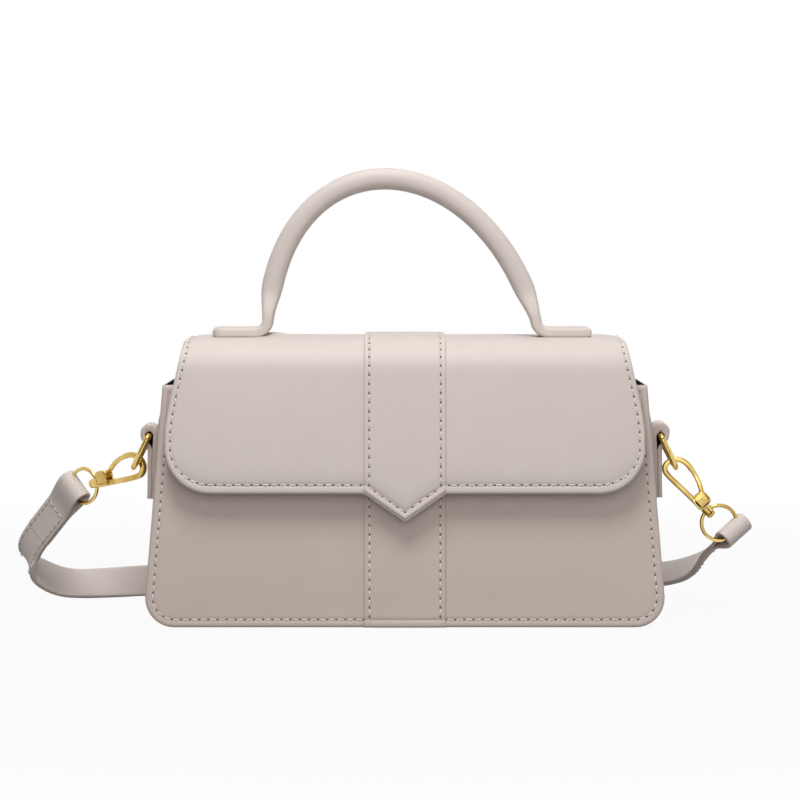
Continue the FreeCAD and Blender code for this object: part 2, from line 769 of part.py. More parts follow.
def make_hank():
    """Spare strap in flat folds on its edge behind the bag, one unbroken strip, and the tie round it."""
    middle = strap_lift + strap_width / 2
    half = hank_run / 2
    fold = hank_pitch / 2
    edges = []
    heading = 1
    y = hank_front
    for run in range(hank_runs):
        end = V(heading * half, y, middle)
        edges.append(line(V(-heading * half, y, middle), end))
        if run < hank_runs - 1:
            edges.append(arc(end, end + V(heading * fold, fold, 0), end + Y_AXIS * hank_pitch))
        y += hank_pitch
        heading = -heading
    start = V(-half, hank_front, middle)
    strip = Part.Wire(edges).makePipeShell([strap_section(start, X_AXIS, Z_AXIS)], True, False)
    length = Part.Wire(edges).Length
    print("hank length %.1f" % length, "self gap %.2f" % (hank_pitch - strap_thickness))
    depth = (hank_runs - 1) * hank_pitch + strap_thickness + 2 * tie_play
    height = strap_width + 2 * tie_play
    low = V(-tie_width / 2, hank_front - strap_thickness / 2 - tie_play, strap_lift - tie_play)
    wall = V(0, tie_thickness, tie_thickness)
    sleeve = Part.makeBox(tie_width, depth + 2 * tie_thickness, height + 2 * tie_thickness, low - wall)
    export("strap_hank", strip)
    export("strap_tie", sleeve.cut(Part.makeBox(tie_width, depth, height, low)))
    return length


def make_strap(left_side, right_side):
    """The two free stretches of the strap and the folded length between them."""
    middle = strap_lift + strap_width / 2
    hank_start = V(-hank_run / 2, hank_front, middle)
    hank_end = V(hank_run / 2, hank_front + (hank_runs - 1) * hank_pitch, middle)
    left_route = left_side.lead() + [V(*point) for point in left_points]
    left_route += [hank_start - X_AXIS * hank_lead, hank_start]
    right_route = right_side.lead() + [V(*point) for point in right_points]
    right_route += [hank_end + X_AXIS * hank_lead, hank_end]
    total = strap_run("strap_left_run", left_route, left_upright, left_side.loop_across)
    total += strap_run("strap_right_run", right_route, right_upright, right_side.loop_across)
    total += make_hank()
    print("strap length without its folded ends %.1f" % total)


if __name__ == "__main__":
    os.makedirs("parts", exist_ok=True)
    make_body()
    make_flap()
    make_handle()
    left_side = Side(-1, "left", left_clasp_drop, left_clasp_yaw)
    right_side = Side(1, "right", right_clasp_drop, right_clasp_yaw)
    for fittings in (left_side, right_side):
        fittings.make_tab()
        fittings.make_ring()
        fittings.make_hook()
    left_side.make_loop(left_loop_turn, left_loop_swing, left_loop_length)
    right_side.make_loop(right_loop_turn, right_loop_swing, right_loop_length)
    make_strap(left_side, right_side)
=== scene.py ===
"""Dressed model of a structured flap handbag with a rolled top handle and a clip-on shoulder strap.

Sizes are millimetres in the bag's own frame: +X to the right of someone who faces the flap, +Y to the back,
+Z up, the origin on the floor under the middle. Meshes are stored in metres.
"""

import logging
import math
from dataclasses import dataclass, field
from enum import Enum
from typing import Optional, Union

import bmesh
import bpy
import numpy as np
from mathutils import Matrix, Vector


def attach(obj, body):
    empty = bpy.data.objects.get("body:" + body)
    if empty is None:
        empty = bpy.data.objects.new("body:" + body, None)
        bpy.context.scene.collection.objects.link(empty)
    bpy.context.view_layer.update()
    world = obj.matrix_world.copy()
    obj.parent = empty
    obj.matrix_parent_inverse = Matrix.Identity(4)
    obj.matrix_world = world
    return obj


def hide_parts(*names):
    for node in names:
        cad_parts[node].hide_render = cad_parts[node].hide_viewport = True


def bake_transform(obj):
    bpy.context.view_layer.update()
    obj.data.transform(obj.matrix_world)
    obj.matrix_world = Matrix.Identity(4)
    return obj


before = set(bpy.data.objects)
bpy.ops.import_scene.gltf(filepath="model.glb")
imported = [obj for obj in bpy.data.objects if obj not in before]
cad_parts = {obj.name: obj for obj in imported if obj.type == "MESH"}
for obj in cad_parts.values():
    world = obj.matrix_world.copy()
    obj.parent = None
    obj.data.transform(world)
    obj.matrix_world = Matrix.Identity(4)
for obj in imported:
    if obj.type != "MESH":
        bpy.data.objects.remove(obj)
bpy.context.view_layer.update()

MM = 0.001
SHARP_ANGLE = math.radians(48.0)
MERGE = 2e-7

log = logging.getLogger("bag")
logging.basicConfig(level=logging.INFO, format="%(message)s")

Array = np.ndarray
Number = Union[float, "Value"]


class Body(Enum):
    """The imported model's bodies."""

    BAG = "bag_body"
    FLAP = "flap"
    LEFT_END = "left_strap_end"
    RIGHT_END = "right_strap_end"
    LEFT_HOOK = "left_hook"
    RIGHT_HOOK = "right_hook"
    LEFT_GATE = "left_gate"
    RIGHT_GATE = "right_gate"


class Slot(Enum):
    """The record's material slots that new pieces take their finish from."""

    LEATHER = "leather"
    STRAP = "strap_leather"
    LINING = "lining_cloth"
    TIE = "tie_band"
    METAL = "gold_hardware"


def smooth(low: float, high: float, value: Array) -> Array:
    """S-shaped step: 0 below low, 1 above high, 3t^2 - 2t^3 between.

    Args:
        low: where the step starts.
        high: where it ends.
        value: numbers to test.

    Returns:
        The step at each number.
    """
    t = np.clip((np.asarray(value, float) - low) / (high - low), 0.0, 1.0)
    return t * t * (3.0 - 2.0 * t)


def bell(value: Array, centre: float, width: float) -> Array:
    """Bell curve exp(-((value - centre) / width)^2)."""
    return np.exp(-(((np.asarray(value, float) - centre) / width) ** 2))


def unit(vectors: Array) -> Array:
    """Vectors divided by their lengths."""
    vectors = np.asarray(vectors, float)
    return vectors / np.maximum(np.linalg.norm(vectors, axis=-1, keepdims=True), 1e-12)


def run_length(points: Array) -> Array:
    """Distance along a polyline at each of its points, from 0."""
    steps = np.linalg.norm(np.diff(points, axis=0), axis=1)
    return np.concatenate([[0.0], np.cumsum(steps)])


def along(points: Array, lengths: Array) -> Array:
    """Points of a polyline at given distances along it.

    Args:
        points: n x d corners.
        lengths: distances from its start.

    Returns:
        One point for each distance.
    """
    marks = run_length(points)
    return np.stack([np.interp(lengths, marks, points[:, k]) for k in range(points.shape[1])], axis=-1)


def resample(points: Array, step: float) -> Array:
    """Polyline with even steps of about the given length."""
    total = run_length(points)[-1]
    return along(points, np.linspace(0.0, total, max(2, int(round(total / step)) + 1)))


def tangents(points: Array) -> Array:
    """Unit directions along a polyline, by central differences."""
    return unit(np.gradient(points, axis=0))


def graded(span: float, insets: Array, step: float) -> Array:
    """Marks from 0 to span, close together at both ends as insets says and about one step apart between.

    Args:
        span: whole length.
        insets: rising distances from an end.
        step: distance between marks away from the ends.

    Returns:
        Rising marks, the same from both ends.
    """
    inner = np.linspace(insets[-1], span - insets[-1], max(2, int(round((span - 2 * insets[-1]) / step)) + 1))
    return np.concatenate([insets[:-1], inner, span - insets[:-1][::-1]])


class Patchwork:
    """Grids of points gathered into one mesh, with a mask and a finish for each grid."""

    def __init__(self) -> None:
        """Start with nothing."""
        self.points: list[Array] = []
        self.faces: list[Array] = []
        self.finish: list[Array] = []
        self.masks: list[Array] = []
        self.count = 0

    def _add_faces(self, quads: Array, finish: int) -> None:
        """Keep quads and the number of the finish that they wear."""
        self.faces.append(quads)
        self.finish.append(np.full(len(quads), finish))

    def grid(self, points: Array, closed: tuple[bool, bool] = (False, False), mask: Optional[Array] = None,
             finish: int = 0) -> Array:
        """Add a grid as quads: face (i, j) joins point (i, j) to its neighbours at i + 1 and j + 1.

        Args:
            points: rows x columns x 3.
            closed: whether the rows and the columns close on themselves.
            mask: rows x columns, 1 where the surface is a painted edge.
            finish: number of the finish.

        Returns:
            Vertex numbers, rows x columns.
        """
        rows, columns = points.shape[:2]
        index = np.arange(rows * columns).reshape(rows, columns) + self.count
        ring = np.vstack([index, index[:1]]) if closed[0] else index
        ring = np.hstack([ring, ring[:, :1]]) if closed[1] else ring
        quads = np.stack([ring[:-1, :-1], ring[1:, :-1], ring[1:, 1:], ring[:-1, 1:]], axis=-1)
        self.points.append(points.reshape(-1, 3))
        self.masks.append(np.broadcast_to(0.0 if mask is None else mask, (rows, columns)).ravel())
        self.count += rows * columns
        self._add_faces(quads.reshape(-1, 4), finish)
        return index

    def bridge(self, first: Array, second: Array, finish: int = 0) -> None:
        """Join two closed loops of vertex numbers with quads."""
        a, b = np.append(first, first[0]), np.append(second, second[0])
        self._add_faces(np.stack([a[:-1], b[:-1], b[1:], a[1:]], axis=-1), finish)

    def slab(self, outer: Array, inner: Array, edge: Optional[Array] = None, finish: int = 0) -> None:
        """Closed shell between two grids of one shape, with a wall along their common border.

        Args:
            outer: rows x columns x 3.
            inner: the same shape, on the other side.
            edge: mask of the outer grid; the wall and the inner border count as edge.
            finish: number of the finish.
        """
        front = border(self.grid(outer, mask=edge, finish=finish))
        back = border(self.grid(inner, finish=finish))
        self.bridge(front, back, finish)

    def beads(self, shape: Array, centres: Array, axes: Array, finish: int = 0) -> None:
        """Copies of one small closed shape: point = centre + shape x axes, for all copies at once.

        Args:
            shape: rows x columns x 3 in the copy's own axes, its columns closed.
            centres: n x 3.
            axes: n x 3 x 3, rows are the copy's own axes.
            finish: number of the finish.
        """
        rows, columns = shape.shape[:2]
        points = centres[:, None, None, :] + np.einsum("rck,nkd->nrcd", shape, axes)
        index = np.arange(points.size // 3).reshape(len(centres), rows, columns) + self.count
        ring = np.concatenate([index, index[:, :, :1]], axis=2)
        quads = np.stack([ring[:, :-1, :-1], ring[:, 1:, :-1], ring[:, 1:, 1:], ring[:, :-1, 1:]], axis=-1)
        self.points.append(points.reshape(-1, 3))
        self.masks.append(np.zeros(points.size // 3))
        self.count += points.size // 3
        self._add_faces(quads.reshape(-1, 4), finish)

    def build(self, name: str, finishes: list[bpy.types.Material]) -> bpy.types.Object:
        """Make the mesh, close its seams and poles, and turn its faces outwards.

        Args:
            name: the piece's name.
            finishes: materials by finish number.

        Returns:
            The new object, at the origin.
        """
        mesh = bpy.data.meshes.new(name)
        mesh.from_pydata(np.concatenate(self.points) * MM, [], np.concatenate(self.faces))
        mesh.polygons.foreach_set("material_index", np.concatenate(self.finish).astype(np.int32))
        masks = mesh.attributes.new("edge", "FLOAT", "POINT")
        masks.data.foreach_set("value", np.concatenate(self.masks).astype(np.float32))
        work = bmesh.new()
        work.from_mesh(mesh)
        bmesh.ops.remove_doubles(work, verts=work.verts, dist=MERGE)
        bmesh.ops.dissolve_degenerate(work, edges=work.edges, dist=MERGE)
        bmesh.ops.recalc_face_normals(work, faces=work.faces)
        work.to_mesh(mesh)
        work.free()
        mesh.polygons.foreach_set("use_smooth", np.ones(len(mesh.polygons), dtype=bool))
        mesh.set_sharp_from_angle(angle=SHARP_ANGLE)
        for finish in finishes:
            mesh.materials.append(finish)
        piece = bpy.data.objects.new(name, mesh)
        bpy.context.scene.collection.objects.link(piece)
        log.info("%s: %d faces", name, len(mesh.polygons))
        return piece


def border(index: Array) -> Array:
    """Vertex numbers round the border of a grid, as one loop."""
    return np.concatenate([index[0, :-1], index[:-1, -1], index[-1, :0:-1], index[:0:-1, 0]])


def sweep(path: Array, side: Array, up: Array, section: Array) -> Array:
    """Profile carried along a path: point = path + side * a + up * b for each (a, b) of the profile.

    Args:
        path: n x 3 points.
        side: n x 3 directions of the profile's first axis.
        up: n x 3 directions of its second axis.
        section: m x 2 profile, or n x m x 2 if it changes along the path.

    Returns:
        n x m x 3 points.
    """
    section = np.broadcast_to(section, (len(path),) + section.shape[-2:])
    return path[:, None] + side[:, None] * section[..., :1] + up[:, None] * section[..., 1:]


def capped(rings: Array) -> Array:
    """Rings of a closed profile with both ends drawn in to their middles."""
    ends = rings[[0, -1]].mean(axis=1, keepdims=True)
    middle = np.repeat(ends, rings.shape[1], axis=1)
    return np.concatenate([middle[:1], rings, middle[1:]])


def strip_profile(width: float, thick: float, corner: float, notch: float = 0.0, steps: int = 5) -> Array:
    """Closed profile of a leather strip: a rectangle with round corners and a fine line along each cut edge.

    The corner arcs have the given radius; the notch draws the middle of both edges in, where layers meet.

    Args:
        width: along the first axis.
        thick: along the second axis.
        corner: radius of the corners.
        notch: depth of the line at mid thickness.
        steps: points of each corner.

    Returns:
        m x 2 profile, anticlockwise.
    """
    angle = np.linspace(0.0, math.pi / 2, steps)
    arc = np.stack([np.cos(angle), np.sin(angle)], axis=-1) * corner
    quarter = arc + [width / 2 - corner, thick / 2 - corner]
    face = np.linspace(width / 2 - corner, corner - width / 2, 9)[1:-1]
    top = np.stack([face, np.full_like(face, thick / 2)], axis=-1)
    seam = np.array([[width / 2 - notch, 0.0]])
    half = np.concatenate([quarter, top, (quarter * [-1, 1])[::-1], seam * [-1, 1]])
    return np.concatenate([seam, half, (half[:-1] * [1, -1])[::-1]])


class Value:
    """A number socket in a node graph, for use in Python expressions: each operator adds one Math node."""

    def __init__(self, graph: "Graph", socket: bpy.types.NodeSocket) -> None:
        """Wrap an output socket of a graph."""
        self.graph = graph
        self.socket = socket

    def _math(self, operation: str, *terms: Number) -> "Value":
        """Result of one Math node on the terms."""
        inputs = {slot: term for slot, term in enumerate(terms)}
        return Value(self.graph, self.graph.node("ShaderNodeMath", {"operation": operation}, inputs).outputs[0])

    def __add__(self, other: Number) -> "Value":
        """Sum."""
        return self._math("ADD", self, other)

    __radd__ = __add__

    def __sub__(self, other: Number) -> "Value":
        """Difference."""
        return self._math("SUBTRACT", self, other)

    def __rsub__(self, other: Number) -> "Value":
        """Difference from a plain number."""
        return self._math("SUBTRACT", other, self)

    def __mul__(self, other: Number) -> "Value":
        """Product."""
        return self._math("MULTIPLY", self, other)

    __rmul__ = __mul__

    def __truediv__(self, other: Number) -> "Value":
        """Quotient."""
        return self._math("DIVIDE", self, other)

    def __rtruediv__(self, other: Number) -> "Value":
        """Quotient of a plain number."""
        return self._math("DIVIDE", other, self)

    def __pow__(self, other: Number) -> "Value":
        """Power."""
        return self._math("POWER", self, other)

    def most(self, other: Number) -> "Value":
        """The larger of two numbers."""
        return self._math("MAXIMUM", self, other)

    def sine(self) -> "Value":
        """Sine."""
        return self._math("SINE", self)

    def step(self, low: float, high: float) -> "Value":
        """S-shaped step from 0 at low to 1 at high."""
        settings = {"interpolation_type": "SMOOTHSTEP"}
        return Value(self.graph, self.graph.node("ShaderNodeMapRange", settings,
                                                 {"Value": self, "From Min": low, "From Max": high}).outputs[0])


class Graph:
    """Node graph of a material or the world."""

    def __init__(self, tree: bpy.types.NodeTree) -> None:
        """Empty the tree and add the object coordinates."""
        self.tree = tree
        self.tree.nodes.clear()
        self.place = self.node("ShaderNodeTexCoord").outputs["Object"]

    def join(self, socket: bpy.types.NodeSocket, term: object) -> None:
        """Link a socket to a Value or an output, or set it to a constant."""
        if isinstance(term, Value):
            term = term.socket
        if isinstance(term, bpy.types.NodeSocket):
            self.tree.links.new(term, socket)
        else:
            socket.default_value = term

    def node(self, kind: str, settings: Optional[dict] = None, inputs: Optional[dict] = None) -> bpy.types.Node:
        """Add a node.

        Args:
            kind: the node's type.
            settings: its properties, set first.
            inputs: values or links by socket name or number.

        Returns:
            The node.
        """
        made = self.tree.nodes.new(kind)
        for key, value in (settings or {}).items():
            setattr(made, key, value)
        for key, term in (inputs or {}).items():
            self.join(made.inputs[key], term)
        return made

    def noise(self, scale: float, detail: float = 2.0, rough: float = 0.5,
              place: Optional[bpy.types.NodeSocket] = None) -> Value:
        """Cloudy value about 0.5, with scale cells in a metre."""
        made = self.node("ShaderNodeTexNoise", None, {"Vector": place or self.place, "Scale": scale,
                                                      "Detail": detail, "Roughness": rough})
        return Value(self, made.outputs["Fac"])

    def cells(self, scale: float, feature: str = "DISTANCE_TO_EDGE") -> Value:
        """Distance inside irregular cells, with scale cells in a metre."""
        made = self.node("ShaderNodeTexVoronoi", {"feature": feature}, {"Vector": self.place, "Scale": scale})
        return Value(self, made.outputs["Distance"])

    def axis(self, name: str) -> Value:
        """One of the object coordinates X, Y or Z, in metres."""
        made = self.node("ShaderNodeSeparateXYZ", None, {0: self.place})
        return Value(self, made.outputs[name])

    def stretched(self, scale: tuple[float, float, float]) -> bpy.types.NodeSocket:
        """Object coordinates multiplied axis by axis."""
        made = self.node("ShaderNodeMapping", None, {"Vector": self.place, "Scale": scale})
        return made.outputs[0]

    def mask(self, name: str) -> Value:
        """A number that the mesh carries at its points."""
        return Value(self, self.node("ShaderNodeAttribute", {"attribute_name": name}).outputs["Fac"])

    def mix(self, share: Number, first: object, second: object) -> bpy.types.NodeSocket:
        """Colour between two colours: first at share 0, second at share 1."""
        made = self.node("ShaderNodeMix", {"data_type": "RGBA"}, {0: share, 6: first, 7: second})
        return made.outputs[2]

    def bump(self, height: Value, strength: float, distance: float) -> bpy.types.NodeSocket:
        """Normal bent by a height, distance in metres for a height of 1."""
        made = self.node("ShaderNodeBump", None, {"Height": height, "Strength": strength, "Distance": distance})
        return made.outputs[0]


class Surface(Graph):
    """Node graph of one material with a Principled surface."""

    def __init__(self, name: str) -> None:
        """Make the material with its output and surface nodes."""
        self.material = bpy.data.materials.new(name)
        self.material.use_nodes = True
        super().__init__(self.material.node_tree)
        self.surface = self.node("ShaderNodeBsdfPrincipled")
        self.node("ShaderNodeOutputMaterial", None, {"Surface": self.surface.outputs[0]})

    def dress(self, **sockets: object) -> bpy.types.Material:
        """Set or link the surface's inputs, named with underscores for spaces, and give the material."""
        for name, term in sockets.items():
            self.join(self.surface.inputs[name.replace("_", " ")], term)
        return self.material


Colour = tuple[float, float, float, float]


@dataclass(frozen=True)
class Leather:
    """Smooth coated leather with a fine pebble grain, faint tone clouds and painted edges."""

    name: str
    colour: Colour = (0.655, 0.580, 0.537, 1.0)
    shade: Colour = (0.637, 0.562, 0.519, 1.0)
    paint: Colour = (0.520, 0.430, 0.385, 1.0)
    grain_cells: float = 1250.0
    cloud_cells: float = 14.0
    roughness: float = 0.50
    relief: float = 0.30

    def make(self) -> bpy.types.Material:
        """Grain from cell borders and fine noise, tone from two clouds, edges from the mesh's edge mask."""
        g = Surface(self.name)
        clouds = g.noise(self.cloud_cells, 3.0) * 0.6 + g.noise(self.cloud_cells * 6.0, 2.0) * 0.4
        pebble = g.cells(self.grain_cells).step(0.0, 0.16)
        fine = g.noise(self.grain_cells * 2.6, 2.0)
        edge = g.mask("edge")
        face = g.mix(clouds.step(0.36, 0.66), self.shade, self.colour)
        face = g.mix((1.0 - pebble) * 0.10, face, self.paint)
        colour = g.mix(edge, face, self.paint)
        rough = self.roughness + (clouds - 0.5) * 0.12 + (1.0 - pebble) * 0.06 - edge * 0.10
        height = pebble * 0.7 + fine * 0.3
        return g.dress(Base_Color=colour, Roughness=rough, Specular_IOR_Level=0.38,
                       Normal=g.bump(height, self.relief, 0.00006))


@dataclass(frozen=True)
class Thread:
    """Twisted sewing thread."""

    name: str
    colour: Colour = (0.80, 0.73, 0.68, 1.0)
    shade: Colour = (0.60, 0.53, 0.48, 1.0)
    twist_cells: float = 4200.0

    def make(self) -> bpy.types.Material:
        """Two tones and a relief from fine noise at the scale of the twist."""
        g = Surface(self.name)
        ply = g.noise(self.twist_cells, 1.0)
        return g.dress(Base_Color=g.mix(ply.step(0.38, 0.62), self.shade, self.colour),
                       Roughness=0.62 + ply * 0.2, Normal=g.bump(ply, 0.5, 0.00005))


@dataclass(frozen=True)
class NeedleHoleShade:
    """Painted shade of a pricked hole at the end of a stitch: a dark colour standing for the shadow inside the
    hole.
    """

    name: str
    colour: Colour = (0.115, 0.088, 0.075, 1.0)
    rim: Colour = (0.20, 0.158, 0.136, 1.0)

    def make(self) -> bpy.types.Material:
        """Two dark tones of painted shade mixed by fine noise."""
        g = Surface(self.name)
        dust = g.noise(2600.0, 2.0)
        tone = g.mix(dust.step(0.4, 0.7), self.colour, self.rim)
        return g.dress(Base_Color=tone, Roughness=0.8 + dust * 0.15)


@dataclass(frozen=True)
class Plating:
    """Polished plated metal with faint hairlines and handling haze."""

    name: str
    colour: Colour
    deep: Colour
    roughness: float = 0.12
    hairline_cells: float = 300.0

    def make(self) -> bpy.types.Material:
        """Haze and hairlines change the roughness, a slow cloud the tone, and hairlines give a faint relief."""
        g = Surface(self.name)
        haze = g.noise(120.0, 3.0)
        lines = g.noise(self.hairline_cells, 2.0, 0.6, g.stretched((1.0, 14.0, 5.0)))
        tone = g.mix(haze.step(0.35, 0.75), self.colour, self.deep)
        return g.dress(Base_Color=tone, Metallic=1.0, Roughness=self.roughness + haze * 0.08 + lines * 0.05,
                       Normal=g.bump(lines, 0.06, 0.00003))


@dataclass(frozen=True)
class Cloth:
    """Plain woven cloth."""

    name: str
    colour: Colour
    light: Colour
    thread: float = 0.00045
    relief: float = 0.5

    def make(self) -> bpy.types.Material:
        """Weave height from the product of sines across and up the cloth, with uneven yarn from noise."""
        g = Surface(self.name)
        pace = 2.0 * math.pi / self.thread
        across = ((g.axis("X") + g.axis("Y")) * pace).sine()
        upward = ((g.axis("Z") + g.axis("Y") * 0.7) * pace).sine()
        weave = across * upward * 0.5 + 0.5
        yarn = g.noise(900.0, 2.0)
        return g.dress(Base_Color=g.mix(weave * 0.5 + yarn * 0.4, self.colour, self.light),
                       Roughness=0.78 + yarn * 0.15,
                       Normal=g.bump(weave * 0.7 + yarn * 0.3, self.relief, 0.00012))


@dataclass(frozen=True)
class Fibreboard:
    """Pressed board of short fibres."""

    name: str
    colour: Colour = (0.30, 0.22, 0.15, 1.0)
    light: Colour = (0.46, 0.36, 0.26, 1.0)

    def make(self) -> bpy.types.Material:
        """Fibres from noise drawn out along the board, over slower clouds."""
        g = Surface(self.name)
        fibre = g.noise(500.0, 3.0, 0.6, g.stretched((0.25, 1.0, 1.0)))
        clouds = g.noise(60.0, 2.0)
        return g.dress(Base_Color=g.mix(fibre * 0.7 + clouds * 0.3, self.colour, self.light),
                       Roughness=0.75 + fibre * 0.2, Normal=g.bump(fibre, 0.4, 0.0001))


@dataclass(frozen=True)
class Finishes:
    """Every finish on the bag, made once."""

    leather: bpy.types.Material
    body: bpy.types.Material
    strap: bpy.types.Material
    reverse: bpy.types.Material
    thread: bpy.types.Material
    hole: bpy.types.Material
    strap_thread: bpy.types.Material
    strap_hole: bpy.types.Material
    gold: bpy.types.Material
    nickel: bpy.types.Material
    steel: bpy.types.Material
    lining: bpy.types.Material
    tie: bpy.types.Material
    board: bpy.types.Material

    @classmethod
    def make(cls) -> "Finishes":
        """Make all the materials."""
        return cls(
            leather=Leather("bag_leather").make(),
            # body: painted shade, a darker and warmer copy of the bag leather so the panels, front band and
            # gusset render darker than the flap
            body=Leather("body_leather_painted_shade", (0.565, 0.474, 0.424, 1.0), (0.548, 0.457, 0.408, 1.0)).make(),
            strap=Leather("strap_leather", cloud_cells=20.0, relief=0.10).make(),
            reverse=Leather("flap_lining_leather", grain_cells=2100.0, roughness=0.66).make(),
            thread=Thread("sewing_thread").make(),
            # The two hole finishes: painted shade, dark colours standing for the shadow inside the needle holes
            hole=NeedleHoleShade("needle_holes_painted_shade").make(),
            strap_thread=Thread("strap_thread", (0.69, 0.615, 0.57, 1.0), (0.58, 0.51, 0.468, 1.0)).make(),
            strap_hole=NeedleHoleShade("strap_needle_holes", (0.28, 0.228, 0.20, 1.0),
                                  (0.38, 0.318, 0.285, 1.0)).make(),
            gold=Plating("gold_plating", (0.76, 0.55, 0.195, 1.0), (0.50, 0.325, 0.08, 1.0), 0.09).make(),
            nickel=Plating("nickel_plating", (0.72, 0.70, 0.67, 1.0), (0.60, 0.58, 0.55, 1.0), 0.22).make(),
            steel=Plating("spring_wire", (0.55, 0.54, 0.52, 1.0), (0.42, 0.41, 0.40, 1.0), 0.3).make(),
            lining=Cloth("lining_cloth", (0.012, 0.012, 0.013, 1.0), (0.045, 0.044, 0.046, 1.0)).make(),
            tie=Cloth("tie_weave", (0.42, 0.36, 0.32, 1.0), (0.62, 0.55, 0.50, 1.0), 0.0009).make(),
            board=Fibreboard("base_fibreboard").make())


@dataclass(frozen=True)
class Seam:
    """Row of lock stitches: short thread beads that dip into needle holes, each hole a dark lens of painted
    shade.
    """

    pitch: float = 3.7
    thread: float = 0.36
    proud: float = 0.18
    dip: float = 0.48
    hole: float = 0.55

    def bead(self) -> Array:
        """Thread bead: a round profile that swells from both ends and arches over its middle.

        Radius = thread * (1 - t^2)^0.4 and height = proud - dip * t^2, for t from -1 to 1 along the stitch.
        """
        t = np.linspace(-1.0, 1.0, 7)[:, None]
        turn = np.linspace(0.0, 2.0 * math.pi, 7)[None, :-1]
        radius = self.thread * np.clip(1.0 - t * t, 0.0, 1.0) ** 0.4
        rise = self.proud - self.dip * t * t
        reach = t * (self.pitch / 2 - self.hole * 0.35)
        across, up = radius * np.cos(turn), radius * np.sin(turn) + rise
        return np.stack(np.broadcast_arrays(reach, across, up), axis=-1)

    def pit(self) -> Array:
        """Needle hole: a flat round lens, radius and height given ring by ring; it wears the holes' painted
        shade.
        """
        radius = np.array([0.0, 0.7, 1.0, 0.7, 0.0])[:, None] * self.hole
        height = np.array([0.19, 0.18, 0.10, -0.2, -0.3])[:, None]
        turn = np.linspace(0.0, 2.0 * math.pi, 8)[None, :-1]
        across, along_seam = radius * np.cos(turn), radius * np.sin(turn) * 0.85
        return np.stack(np.broadcast_arrays(across, along_seam, height), axis=-1)

    def sew(self, patch: Patchwork, line: Array, normals: Array) -> None:
        """Add the stitches along a line on a surface.

        Args:
            patch: takes thread as finish 0 and the holes' painted shade as finish 1.
            line: n x 3 points on the surface.
            normals: n x 3 outward directions there.
        """
        marks = run_length(line)
        count = max(1, int(round(marks[-1] / self.pitch)))
        ends = np.linspace(0.0, marks[-1], count + 1)
        middles = (ends[:-1] + ends[1:]) / 2
        for shape, spots, finish in ((self.bead(), middles, 0), (self.pit(), ends, 1)):
            before = along(line, np.clip(spots - self.pitch / 2, 0.0, None))
            after = along(line, np.clip(spots + self.pitch / 2, None, marks[-1]))
            up = unit(np.stack([np.interp(spots, marks, normals[:, k]) for k in range(3)], axis=-1))
            run = unit(after - before)
            run = unit(run - up * np.sum(run * up, axis=1, keepdims=True))
            patch.beads(shape, along(line, spots), np.stack([run, np.cross(up, run), up], axis=1), finish)


EDGE_MARKS = np.array([0.0, 0.12, 0.3, 0.55, 0.85, 1.2, 1.6, 2.0, 2.4, 2.8, 3.1, 3.4, 3.8, 4.5, 5.6, 7.2, 9.5])


def rounded(distance: Array, radius: float) -> Array:
    """Drop of a rounded edge: radius - sqrt(radius^2 - (radius - d)^2) within radius of it, 0 further in."""
    short = np.clip(radius - np.asarray(distance, float), 0.0, radius)
    return radius - np.sqrt(radius * radius - short * short)


